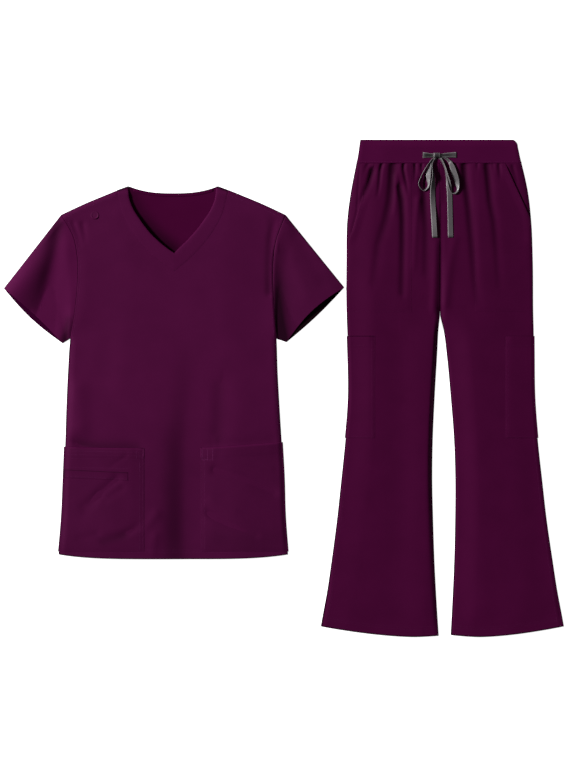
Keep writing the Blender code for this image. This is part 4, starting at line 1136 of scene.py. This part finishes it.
def leg_grid(side, step, start_down, lap=0.0):
    """Rows and columns of one layer of a leg, from under the waistband to the curved hem.

    lap moves its inner edge to the right, down to the crotch.
    """
    gathered = spaced(WAIST_SEAM + 3.0, 210.0, 1.5 * step)
    long = spaced(210.0, TROUSER_HEM - HEM_ROWS[0], 3.2 * step)
    rows = np.concatenate([start_down, gathered[:-1], long[:-1], TROUSER_HEM - HEM_ROWS])[:, None]
    columns = spaced(0.0, 1.0, step / 180.0, close=(0.006, 0.013, 0.022))
    edges = [leg_outer(side, rows), leg_inner(side, rows) + lap * rise(CROTCH - rows, 20.0)]
    start, end = edges if side < 0 else edges[::-1]
    x = start + (end - start) * columns
    return x, rows - leg_hem_shift(side, x, rows)


TROUSER_DEEP = (0.042, 0.0006, 0.0215)
TROUSER_LIGHT = (0.053, 0.0012, 0.0275)
wine_trousers = cloth_material("wine_trouser_twill", TROUSER_DEEP, TROUSER_LIGHT, gloss=0.035)

for side, name in SIDE_NAMES.items():
    x, down = leg_grid(side, 7.0, [WAIST_SEAM, WAIST_SEAM + 1.5], lap=BACK_LAP)
    leg_back = cloth_wall("leg_back_cloth_" + name, TROUSERS, (x, down, BACK_TOP, UNDERSIDE),
                          wine_trousers)
    dress(leg_back, ["leg_back_" + name])


# ---- Trousers, leg fronts ----------------------------------------------------------------------
# Gathered into the waistband and joined by the fly seam down to the crotch. The side seams lie
# a little inside the outer edges, and each hem is turned up twice and stitched.

LEG_EDGE = 1.1            # rise close to the seams
LEG_ROLL = 7.0            # its reach
LEG_FOLD_EASE = 14.0      # distance from the edges over which folds grow
LEG_DOME = {-1: 4.8, 1: 4.3}          # further rise towards the middle
WAIST_DOME = 2.1                      # the same at the waistband
HEM_DOME = {-1: 0.35, 1: 0.85}        # share of it left at the hem
DOME_REACH = {-1: (56.0, 10.0), 1: (110.0, 48.0)}     # from the outer and from the inner edge
GATHERS = [
    Fold([(-140, 45), (-146, 58)], 3, -1.8, -0.6, 5),
    Fold([(-132, 60), (-139, 86), (-149, 108), (-157, 124)], 5, -4.0, -0.6, 7),
    Fold([(-112, 43), (-116, 60), (-119, 92), (-122, 110)], 3.5, -3.2, -0.5),
    Fold([(-92, 44), (-95, 89), (-98, 120), (-106, 158), (-121, 206), (-131, 280)], 7, -3.8, -0.6, 11),
    Fold([(-86, 72), (-86, 112), (-89, 143)], 5, 1.6, 0.6),
    Fold([(-70, 43), (-71, 58), (-65, 88), (-63, 104)], 3.5, -3.6, -0.5),
    Fold([(-79, 92), (-74, 118), (-72, 156), (-72, 205), (-73, 250), (-74, 300)], 6, -3.8, -1.4, 8),
    Fold([(-49, 43), (-48, 56), (-50, 82)], 3, -3.2, -0.4),
    Fold([(-35, 43), (-36, 66)], 2.5, -3.0, -0.4),
    Fold([(-43, 118), (-47, 165), (-51, 250)], 6, 1.6, 0.6),
    Fold([(-34, 80), (-31, 104), (-29, 143), (-27, 177), (-28, 262)], 6.5, -4.2, -0.9, 9),
    Fold([(-22, 44), (-21, 66)], 3, -1.2, -0.3),
    Fold([(9, 46), (8, 120)], 5, -1.0, -0.4),
    Fold([(29, 45), (33, 95)], 4, -1.8, -0.6),
    Fold([(47, 44), (49, 79), (53, 106), (57, 140), (63, 206), (68, 274), (74, 320)], 6.5, -4.2, -0.5, 9),
    Fold([(73, 44), (73, 58)], 3, -1.6, -0.3),
    Fold([(91, 44), (94, 73), (98, 120), (106, 161), (110, 210), (115, 285)], 6, -3.4, -0.4, 9),
    Fold([(103, 44), (104, 60)], 3, -1.0, -0.3),
    Fold([(115, 44), (117, 75)], 3.5, -2.0, -0.4),
    Fold([(142, 52), (150, 84)], 4, -1.4, -0.4),
    Fold([(-157, 50), (-162, 141), (-172, 180)], 2.2, -0.7, -0.7),
]
LEG_FOLDS = [
    Fold([(2, 130), (1.5, 345)], 5.5, -0.5, -2.4),
    Fold([(-8, 205), (-13, 330)], 7, 1.0, 1.7),
    Fold([(28, 195), (18, 245), (10, 320)], 9, 0.9, 1.6),
    Fold([(-79, 390), (-76, 640), (-86, 940)], 30, -0.9, -0.5, 24),
    Fold([(-22, 350), (-24, 375), (-27, 400), (-30, 450), (-32, 940)], 34, 0.0, 1.2, 18),
    Fold([(60, 390), (70, 600), (84, 900)], 22, 0.9, 0.7),
    Fold([(150, 400), (152, 600), (170, 920)], 26, 0.6, 0.6),
]
GATHER_PAINTED_SHADE = 0.16        # painted shade that a gather gets for each millimetre of its depth


def leg_height(side, x, down):
    """How far the front of a leg stands off where it would touch the back."""
    x, down = np.broadcast_arrays(x, down)
    from_outer = side * (leg_outer(side, down) - x)
    from_inner = side * (x - leg_inner(side, down))
    parted = rise(down - (CROTCH - 40.0), 110.0)
    outer_reach, inner_reach = DOME_REACH[side]

    def between(roll, at_outer, at_inner):
        """1 inside the leg, 0 at its outer edge and, below the crotch, at its inner edge."""
        inside = 1.0 - parted * (1.0 - rise(from_inner + roll, at_inner))
        return rise(from_outer + roll, at_outer) * inside

    edge = between(0.5, LEG_ROLL, LEG_ROLL)
    dome = between(0.0, outer_reach, inner_reach)
    domed = WAIST_DOME + (LEG_DOME[side] - WAIST_DOME) * rise(down - WAIST_SEAM, 90.0)
    domed = domed * (1.0 - (1.0 - HEM_DOME[side]) * rise(down - 460.0, 420.0))
    folded = between(0.0, LEG_FOLD_EASE, LEG_FOLD_EASE)
    below_band = rise(down - WAIST_SEAM + 2.5, 6.0)
    folds = fold_heights(GATHERS, x, down) * below_band + fold_heights(LEG_FOLDS, x, down)
    ease = 0.9 * below_band * (1.0 - rise(down - 150.0, 160.0))
    flat_hem = 0.5 + 0.5 * rise(TROUSER_HEM - down, FLAT_HEM)
    return np.maximum(flat_hem * (LEG_EDGE * edge + domed * dome + folded * (folds + ease)), 0.0)


def leg_shade(x, down):
    """Painted shade in the gathers: a narrow line along the bottom of each trough."""
    narrow = [fold._replace(width=0.62 * fold.width, right=fold.right and 0.55 * fold.right)
              for fold in GATHERS if fold.height < 0.0]
    return np.clip(-GATHER_PAINTED_SHADE * fold_heights(narrow, x, down), 0.0, 0.75)


def leg_upper(x, down):
    x, down = np.broadcast_arrays(x, down)
    return LAYER + PANEL + np.where(x < 0, leg_height(-1, x, down), leg_height(1, x, down))


trouser_thread = sewn_material("trouser_thread", (0.085, 0.008, 0.055), 0.7)
FAINT_STITCH = (0.4, 0.25, 2.3)
LEG_HEM_STITCHES = (15.0, 19.5)
SIDE_SEAM_STITCH = 8.5


def leg_hem_route(side, distance):
    down = TROUSER_HEM - distance
    x = np.linspace(leg_outer(side, down) + side * -2.0, leg_inner(side, down) + side * 2.0, 60)
    return np.column_stack([x, down - leg_hem_shift(side, x, down)])


TUCKED_TOP = 1.75         # height of the seam allowance inside the waistband
TUCKED_CLOTH = 0.35

for side, name in SIDE_NAMES.items():
    x, down = leg_grid(side, 1.8, [43.4, 44.4, 45.2, 45.9, 46.5, 47.2, 48.0])
    free = rise(down - 45.0, 1.6)
    upper = LAYER + PANEL + leg_height(side, x, down)
    upper = TUCKED_TOP + (upper - TUCKED_TOP) * free
    parted = down > CROTCH
    free = free * np.where(parted, 1.0, rise(np.abs(x) - 1.0, 8.0))
    lower = upper - (TUCKED_CLOTH + (CLOTH - TUCKED_CLOTH) * free)
    # Painted shade on the rims: most on the left edges, little at the fly seam above the crotch.
    centre_painted_shade = np.where(parted[:, 0], 1.0 if side < 0 else 1.6, 0.25)
    edges = (1.6, 1.2, centre_painted_shade, 0.6) if side < 0 else (centre_painted_shade, 1.2, 1.0, 0.6)
    leg_front = cloth_wall("leg_front_cloth_" + name, TROUSERS, (x, down, upper, lower), wine_trousers,
                           edges=edges, shade=leg_shade(x, down))
    dress(leg_front, ["leg_front_" + name])
    leg_routes = [leg_hem_route(side, distance) for distance in LEG_HEM_STITCHES]
    leg_routes.append(side_route(partial(leg_outer, side), -side * SIDE_SEAM_STITCH, 585.0, 940.0, 150))
    sew("leg_stitches_" + name, TROUSERS, leg_routes, leg_upper, thread=trouser_thread)
sew("fly_stitches", TROUSERS, [[(5.4, 215.0), (5.4, 330.0)]], leg_upper, stitch=FAINT_STITCH,
    thread=trouser_thread)


# ---- Trousers, hip and cargo pockets -----------------------------------------------------------
# Hip pockets open along a slant from the waistband to the side seam; their bags are stitched
# through the front. Cargo pockets sit on the side seams, with a broad turned mouth.

HipPocket = namedtuple("HipPocket", "slant inner bottom")
HIP_POCKETS = {
    -1: HipPocket([(-132.6, 49.7), (-172.6, 180.4)], -55.6, 336.4),
    1: HipPocket([(128.7, 49.7), (175.5, 151.1)], 68.3, 335.8),
}
SLANT_STAND = 1.3         # how far the cloth stands off along the slant
SLANT_STITCH = 5.0


def slant_x(side, down):
    (x_start, start), (x_end, end) = HIP_POCKETS[side].slant
    line = x_start + (x_end - x_start) * (down - start) / (end - start)
    return side * np.minimum(side * line, side * leg_outer(side, down) - 0.3)


def hip_upper(side, x, down):
    """Height of a hip pocket: it stands off along its slant and sinks in at its other edges."""
    pocket = HIP_POCKETS[side]
    from_slant = side * (slant_x(side, down) - x)
    opening = 1.0 - rise(down - 185.0, 30.0)
    from_inner = side * (x - pocket.inner)
    sunk = rise(from_inner, 9.0) * rise(pocket.bottom - down, 9.0)
    stand = SLANT_STAND * opening * (1.0 - rise(from_slant, 18.0)) * rise(down - WAIST_SEAM, 14.0)
    return leg_upper(x, down) + 0.12 + 0.3 * sunk + stand


for side, name in SIDE_NAMES.items():
    pocket = HIP_POCKETS[side]
    grid = patch_grid(side, partial(hip_upper, side), leg_upper, level(pocket.inner),
                      partial(slant_x, side), level(WAIST_SEAM + 0.4), pocket.bottom, step=2.6)
    # Painted shade along its slant and in the gathers it covers.
    hip = cloth_wall("hip_pocket_cloth_" + name, TROUSERS, grid, wine_trousers,
                     edges=(0.7, 0.0, 0.0, 0.0) if side < 0 else (0.0, 0.0, 1.0, 0.0),
                     shade=leg_shade(*grid[:2]))
    dress(hip, ["hip_pocket_" + name])
    slant = side_route(partial(slant_x, side), -side * SLANT_STITCH, 52.0, 176.0, 150)
    bag_x = pocket.inner + side * 0.8
    bag_down = pocket.bottom - 1.0
    bag = [(bag_x, 200.0), (bag_x, bag_down),
           (float(leg_outer(side, pocket.bottom)) - side * 6.0, bag_down)]
    sew("hip_pocket_stitches_" + name, TROUSERS, [slant, bag], partial(hip_upper, side),
        stitch=FAINT_STITCH, thread=trouser_thread)

CARGO_TOP = 383.0
CARGO_BOTTOM = 582.0
CARGO_INNER = 126.8
CARGO_OVERHANG = 1.6
CARGO_BAND = 19.0         # height of its turned mouth


def cargo_upper(side, x, down):
    """Height of a cargo pocket: thickest at its turned mouth, sewn down on its other sides."""
    from_inner = side * x - CARGO_INNER
    from_bottom = CARGO_BOTTOM - down
    from_mouth = down - CARGO_TOP
    eased = rise(from_inner, 14.0) * rise(from_bottom, 24.0)
    thick = 0.16 + 0.3 * rise(from_inner, 5.0) + 0.2 * (1.0 - rise(from_mouth - CARGO_BAND, 1.5))
    return leg_upper(x, down) + thick + eased * (0.3 + 0.7 * (1.0 - rise(from_mouth, 24.0)))


for side, name in SIDE_NAMES.items():
    grid = patch_grid(side, partial(cargo_upper, side), leg_upper, level(side * CARGO_INNER),
                      lambda down: leg_outer(side, down) + side * CARGO_OVERHANG,
                      level(CARGO_TOP), CARGO_BOTTOM, step=2.4)
    # Painted shade on its rims, most on the outer one.
    cargo = cloth_wall("cargo_pocket_cloth_" + name, TROUSERS, grid, wine_trousers,
                       edges=(1.0, 0.15, 0.1, 0.6) if side < 0 else (0.1, 0.15, 1.0, 0.6))
    dress(cargo, ["cargo_pocket_" + name])
    x_in = side * CARGO_INNER
    x_out = float(leg_outer(side, CARGO_TOP)) - side * 3.0
    upright = [[(x_in + side * inset, CARGO_TOP + 2.0), (x_in + side * inset, CARGO_BOTTOM - 2.0)]
               for inset in (1.8, 6.0)]
    across = [[(x_in + side * 2.0, down), (x_out, down)]
              for down in (CARGO_BOTTOM - 2.0, CARGO_TOP + CARGO_BAND)]
    sew("cargo_pocket_stitches_" + name, TROUSERS, upright + across, partial(cargo_upper, side),
        thread=trouser_thread)


# ---- Trousers, waistband -----------------------------------------------------------------------
# A flat elastic band inside a tube of the same twill, sewn over the gathers. The drawstring runs
# inside it and comes out at two short slits.

WaistRow = namedtuple("WaistRow", "down left right")
WAIST = [
    WaistRow(0, -155.4, 144.0), WaistRow(6, -156.5, 150.0), WaistRow(16, -157.8, 152.6),
    WaistRow(31, -160.0, 155.8), WaistRow(45.7, -162.9, 159.2),
]
WAIST_BOTTOM = WAIST[-1].down
WAIST_STITCH = 43.4


def waist_height(x, down):
    """How far the band's front stands off where it would touch its back."""
    from_left, from_right = x - smooth(WAIST, "left", down), smooth(WAIST, "right", down) - x
    dome = rise(from_left, DOME_REACH[-1][0]) * rise(from_right, DOME_REACH[1][0])
    edge = rise(np.minimum(from_left, from_right) + 0.5, LEG_ROLL)
    return (LEG_EDGE * edge + WAIST_DOME * dome) * (0.3 + 0.7 * rise(down, 14.0))


def waist_upper(x, down):
    return LAYER + PANEL + waist_height(x, down)


waist_rows = spaced(0.0, WAIST_BOTTOM, 2.4, close=(0.5, 1.2))[:, None]
waist_share = spaced(0.0, 1.0, 0.01, close=(0.004,))
waist_x = smooth(WAIST, "left", waist_rows)
waist_x = waist_x + (smooth(WAIST, "right", waist_rows) - waist_x) * waist_share
waist_down = waist_rows + 0.0 * waist_x
waist_loft = waist_height(waist_x, waist_down) - 0.5 * (1.0 - rise(waist_rows, 2.0))
BAND_DEEP = (0.049, 0.0010, 0.026)
BAND_LIGHT = (0.060, 0.0016, 0.032)
wine_band = cloth_material("wine_band", BAND_DEEP, BAND_LIGHT, roughness=0.75, gloss=0.03)
# Painted shade along its top, and near-black painted shade inside it.
waistband = flattened_tube("waistband_tube", TROUSERS, (waist_x, waist_down), (waist_x, waist_down),
                           waist_loft, [wine_band, wine_painted_shade_deep], ends=(1.0, 0.0))
dress(waistband, ["waistband"])
waist_line = np.linspace(-158.0, 153.0, 120)
sew("waistband_stitches", TROUSERS, [[(x, WAIST_STITCH) for x in waist_line]], waist_upper)


# ---- Drawstring --------------------------------------------------------------------------------
# One length of flat charcoal tape, 10 mm wide, tied in a bow over the waistband. Its edges are
# paler, partly by their weave and partly as painted highlight. It is shown as its two halves, which
# meet in the knot, each ending bare.

TAPE_WIDTH = 9.8
TAPE_THICKNESS = 0.8
KNOT = (-6.2, 30.8)
KNOT_TALL = 9.4           # its size towards the hem
KNOT_REACH = 6.0          # half its width
KNOT_LEVEL = 2.2          # height of its middle above its seat
KNOT_HIGH = 2.0           # half its height
TAPE_STEPS = 9            # rings between two stations

# Each station is (x, down, lift, turn, width, shade). lift is how far the tape's lower edge stands
# above the cloth. turn is in degrees from lying flat, and raises the tape's right edge where it
# runs towards the waist. width is its share of the full width, where it is folded or twisted, and
# shade is how much painted shade its middle gets.
BOW = {
    "left": [
        (-33.5, 30.4, 0.1, 0, 1.1, 0.1), (-28.0, 30.6, 0.1, -6, 1.0, 1.0), (-19.0, 31.0, 0.2, -6, 0.8, 1.0),
        (-12.0, 31.2, 0.4, 0, 0.7, 0.4), (-7.0, 31.4, 0.8, 0, 0.5, 0.3), (-9.0, 34.5, 1.2, -10, 0.4, 0.9),
        (-17.0, 43.0, 0.6, -14, 0.35, 0.5), (-20.2, 54.0, 0.3, -18, 0.7, 0), (-22.4, 66.5, 0.3, -20, 1, 0),
        (-22.4, 78.0, 0.2, -24, 0.8, 0), (-22.2, 89.0, 0.0, -40, 0.45, 0.2),
        (-25.7, 95.8, 0.0, -50, 0.4, 0.2), (-31.2, 99.2, 0.0, -50, 0.36, 0.2),
        (-37.0, 95.7, 0.0, -56, 0.4, 0), (-41.4, 86.5, 0.0, -64, 0.5, 0), (-37.0, 73.5, 0.0, -72, 0.5, 0),
        (-31.0, 61.5, 0.0, -74, 0.5, 0), (-24.4, 50.8, 0.0, -74, 0.5, 0.2),
        (-17.0, 41.0, 0.0, -60, 0.4, 0.4), (-9.0, 36.5, 0.2, 0, 0.4, 0.8), (-9.6, 39.0, 0.1, 40, 0.4, 0.9),
        (-14.6, 48.0, 0.0, 66, 0.6, 0.6), (-14.0, 60.0, 0.0, 70, 0.8, 0.5), (-12.8, 70.0, 0.0, 64, 1, 0.5),
        (-13.0, 80.0, 0.0, 44, 1, 0.4), (-14.2, 94.0, 0.0, 26, 1, 0.2), (-14.6, 108.0, 0.0, 14, 1, 0.1),
        (-13.8, 128.0, 0.0, 0, 1, 0), (-12.0, 161.0, 0.0, -12, 1, 0), (-10.3, 191.0, 0.0, -6, 1, 0)],
    "right": [
        (31.8, 29.8, 0.1, 0, 1.1, 0.2), (25.0, 30.0, 0.1, -4, 1.0, 0.5), (14.0, 30.4, 0.2, -6, 0.85, 1.0),
        (4.0, 31.2, 0.4, 0, 0.7, 0.9), (-4.0, 31.6, 0.8, 0, 0.5, 0.5), (3.0, 33.0, 1.2, -10, 0.35, 0.6),
        (12.0, 37.5, 0.4, -14, 0.4, 0.5), (19.6, 45.0, 0.2, -16, 0.7, 0), (24.4, 55.5, 0.1, -14, 1, 0),
        (28.4, 67.0, 0.1, -14, 1.05, 0), (31.8, 78.0, 0.1, -14, 1, 0), (34.2, 88.0, 0.1, -20, 0.75, 0),
        (34.6, 97.5, 0.0, -40, 0.45, 0.1), (30.2, 104.4, 0.0, -50, 0.36, 0.1),
        (24.4, 104.6, 0.0, -50, 0.36, 0.1), (19.6, 98.0, 0.0, -60, 0.5, 0.1),
        (15.8, 84.0, 0.0, -70, 0.6, 0.1), (13.2, 67.0, 0.0, -72, 0.7, 0.1), (9.6, 51.0, 0.0, -70, 0.6, 0.1),
        (3.4, 36.5, 0.2, -40, 0.4, 0.3), (-1.0, 36.0, 0.2, 0, 0.35, 0.9), (3.0, 40.5, 0.1, -40, 0.4, 0.6),
        (9.4, 55.0, 0.0, -66, 0.7, 0.2), (13.0, 69.0, 0.0, -64, 0.9, 0.1),
        (15.4, 80.0, 0.0, -44, 1, 0.1), (17.4, 93.0, 0.0, -12, 1, 0), (18.6, 108.0, 0.0, 2, 1, 0),
        (19.6, 147.0, 0.0, 2, 1, 0), (20.5, 191.0, 0.0, 0, 1, 0)],
}
# Tape colours: middle, paler edges (partly woven, partly painted highlight), full painted shade.
TAPE_MIDDLE = (0.074, 0.066, 0.071)
TAPE_SELVEDGE_HIGHLIGHT = (0.20, 0.185, 0.192)
TAPE_PAINTED_SHADE = (0.008, 0.007, 0.008)
SELVEDGE_FROM = 0.36      # where the selvedge starts, as a share of the width from the middle
SELVEDGE_SHARP = 12.0
TAPE_RIBS = 9.0           # ribs along a length that equals the width
TAPE_WARPS = 14.0         # threads across the width
TAPE_RELIEF = 0.08


def tape_material():
    """Charcoal tape from its UVs: ribs, and pale edges partly woven and partly painted highlight."""
    material, tree, shader = new_material("charcoal_tape", 0.42, 0.55)
    where = tree.nodes.new("ShaderNodeUVMap")
    where.uv_map = "tape"
    parts = tree.nodes.new("ShaderNodeSeparateXYZ")
    tree.links.new(where.outputs["UV"], parts.inputs[0])
    maths = maths_in(tree)
    from_middle = maths("ABSOLUTE", maths("SUBTRACT", parts.outputs["Y"], 0.5))
    edge = maths("MULTIPLY", maths("SUBTRACT", from_middle, SELVEDGE_FROM), SELVEDGE_SHARP)
    edge = maths("MINIMUM", maths("MAXIMUM", edge, 0.0), 1.0)
    ribs = maths("SINE", maths("MULTIPLY", parts.outputs["X"], 2.0 * math.pi * TAPE_RIBS))
    warps = maths("SINE", maths("MULTIPLY", parts.outputs["Y"], 2.0 * math.pi * TAPE_WARPS))
    weave = maths("MULTIPLY_ADD", maths("MULTIPLY", ribs, warps), 0.5, 0.5)
    tone = blend(tree, edge, TAPE_MIDDLE, TAPE_SELVEDGE_HIGHLIGHT)
    weave_surface(tree, shader, tone, TAPE_PAINTED_SHADE, weave, TAPE_RELIEF)
    return material


charcoal_tape = tape_material()


def tape_under(x, down):
    """Height of the cloth below the tape."""
    on_band = waist_upper(x, np.minimum(down, WAIST_BOTTOM))
    return np.where(down < WAIST_SEAM, on_band, leg_upper(x, down))


def tape_stations(stations):
    """Stations on a smooth curve through the given ones."""
    columns = np.array(stations, float)
    slopes = np.gradient(columns, axis=0)
    t = np.arange(TAPE_STEPS)[:, None] / TAPE_STEPS
    path = [cubic(t, 1.0, columns[i], columns[i + 1], slopes[i], slopes[i + 1])
            for i in range(len(columns) - 1)]
    return np.concatenate([*path, columns[-1:]])


def ribbon(name, middles, widths, depths, shades, closed):
    """A flat ribbon with rounded edges, swept along middles by its half width and half depth.

    shades is how much painted shade the middle of each ring gets.
    """
    across = np.array([-1.0, -0.86, -0.5, 0.0, 0.5, 0.86, 1.0])
    profile = [(s, 1.0 - 0.45 * (abs(s) == 1.0)) for s in across]
    profile += [(s, -d) for s, d in profile[::-1]]
    rings = np.array([[m + w * s + d * t for s, t in profile]
                      for m, w, d in zip(middles, widths, depths)])
    count, around = rings.shape[:2]
    index = np.arange(count * around).reshape(count, around)
    onward = np.roll(index, -1, axis=1)
    after = np.roll(index, -1, axis=0) if closed else index[1:]
    after_on = np.roll(onward, -1, axis=0) if closed else onward[1:]
    first = index if closed else index[:-1]
    first_on = onward if closed else onward[:-1]
    faces = np.stack([first, first_on, after_on, after], axis=-1).reshape(-1, 4).tolist()
    if not closed:
        faces += [index[0][::-1].tolist(), index[-1].tolist()]
    in_middle = np.array([1.0 - abs(s) ** 3 for s, _ in profile])
    dark = np.clip(np.outer(shades, in_middle), 0.0, 1.0)
    made = add_soft(name, rings.reshape(-1, 3), faces, dark, [charcoal_tape])
    lengths = np.linalg.norm(np.diff(middles, axis=0), axis=1)
    along = np.concatenate([[0.0], np.cumsum(lengths)]) / (TAPE_WIDTH * MM)
    across_tape = np.array([(s + 1.0) / 2.0 for s, _ in profile])
    corners = np.array([loop.vertex_index for loop in made.data.loops])
    places = np.column_stack([along[corners // around], across_tape[corners % around]])
    made.data.uv_layers.new(name="tape").data.foreach_set("uv", places.ravel())
    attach(made, "root")
    return made


def tape_half(name, stations):
    """One half of the drawstring; returns the piece, its middle line and its length in metres."""
    path = tape_stations(stations)
    run = np.gradient(path[:, :2], axis=0)
    run /= np.linalg.norm(run, axis=1, keepdims=True)
    beside = np.column_stack([-run[:, 1], -run[:, 0]])      # in x and upward y
    turn = np.radians(path[:, 3])
    reach = TAPE_WIDTH / 2.0 * path[:, 4]
    spread = reach[:, None] * np.cos(turn)[:, None] * np.array([-1.0, -0.5, 0.0, 0.5, 1.0])
    under = tape_under(path[:, :1] + beside[:, :1] * spread, path[:, 1:2] - beside[:, 1:] * spread)
    height = under.max(axis=1) + SEAM + path[:, 2] + reach * np.abs(np.sin(turn)) + TAPE_THICKNESS / 2.0
    middles = place(TROUSERS, path[:, 0], path[:, 1], height)
    along = np.gradient(middles, axis=0)
    along /= np.linalg.norm(along, axis=1, keepdims=True)
    width = np.column_stack([beside * np.cos(turn)[:, None], np.sin(turn)])
    depth = np.cross(width, along)
    depth /= np.linalg.norm(depth, axis=1, keepdims=True)
    piece = ribbon(name, middles, width * reach[:, None] * MM, depth * TAPE_THICKNESS / 2.0 * MM,
                   path[:, 5], closed=False)
    length = float(np.linalg.norm(np.diff(middles, axis=0), axis=1).sum())
    return piece, middles, length


KNOT_SIDES = 36
wrap_turns = np.linspace(0.0, 2.0 * math.pi, KNOT_SIDES + 1)[:-1]
wrap_seat = float(tape_under(KNOT[0], KNOT[1] + 6.0)) + SEAM + 0.3
wrap_down = KNOT[1] - (KNOT_TALL / 2.0 - 0.4) * np.cos(wrap_turns)
wrap_z = wrap_seat + KNOT_LEVEL + KNOT_HIGH * np.sin(wrap_turns)
wrap_middles = place(TROUSERS, KNOT[0], wrap_down, wrap_z)
wrap_out = np.column_stack([0.0 * wrap_turns, np.cos(wrap_turns), np.sin(wrap_turns)])
wrap_width = np.tile([1.0, 0.0, 0.0], (KNOT_SIDES, 1)) * KNOT_REACH * MM
# Painted shade on the wrap, most on its side towards the hem.
wrap_shade = np.clip(0.85 - 0.35 * np.cos(wrap_turns), 0.0, 1.0)
knot_wrap = ribbon("knot_wrap", wrap_middles, wrap_width, wrap_out * TAPE_THICKNESS / 2.0 * MM,
                   wrap_shade, closed=True)
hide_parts("bow_knot")

for name, stations in BOW.items():
    half, line, length = tape_half("drawstring_" + name, stations)
    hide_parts("bow_lead_" + name, "bow_loop_" + name, "bow_tail_" + name)


# ---- Floor and light ---------------------------------------------------------------------------
# A white studio floor. One large soft light stands low on the left, a little towards the
# shoulders, so that every fold shows a lit and a shaded side.

FLOOR_DEPTH = 0.0006      # in metres
FLOOR_HALF = 6
FLOOR_DULL = (0.93, 0.93, 0.93)
FLOOR_BRIGHT = (0.95, 0.95, 0.95)
KEY_STRENGTH = 6.1
KEY_ELEVATION = 27.0
KEY_BEARING = 160.0       # from which the light comes: 180 is the left, 90 is past the shoulders
KEY_SPREAD = 9.0
FILL_LIGHT = 0.12

floor_mesh = bpy.data.meshes.new("studio_floor")
floor_corners = [(x * FLOOR_HALF, y * FLOOR_HALF, -FLOOR_DEPTH)
                 for x, y in ((-1, -1), (1, -1), (1, 1), (-1, 1))]
floor_mesh.from_pydata(floor_corners, [], [(0, 1, 2, 3)])
floor_paint, paint_shader, _, paint_colour = patterned("floor_paint", "Noise", 3.0, FLOOR_DULL,
                                                       FLOOR_BRIGHT, 0.9, 0.5)
floor_paint.node_tree.links.new(paint_colour, paint_shader.inputs["Emission Color"])
paint_shader.inputs["Emission Strength"].default_value = 1.0
floor_mesh.materials.append(floor_paint)
studio_floor = add_object("studio_floor", floor_mesh)

key_data = bpy.data.lights.new("key_light", "SUN")
key_data.angle = math.radians(KEY_SPREAD)
key_data.energy = KEY_STRENGTH
key = add_object("key_light", key_data)
key.location = (-3.4, 1.3, 2.3)
key.rotation_euler = (0.0, math.radians(90.0 - KEY_ELEVATION), math.radians(KEY_BEARING))

sky = bpy.data.worlds.new("studio_air")
sky.use_nodes = True
sky_light = sky.node_tree.nodes["Background"]
sky_light.inputs["Color"].default_value = (1.0, 1.0, 1.0, 1.0)
sky_light.inputs["Strength"].default_value = FILL_LIGHT
bpy.context.scene.world = sky
bpy.context.scene.view_settings.view_transform = "Standard"
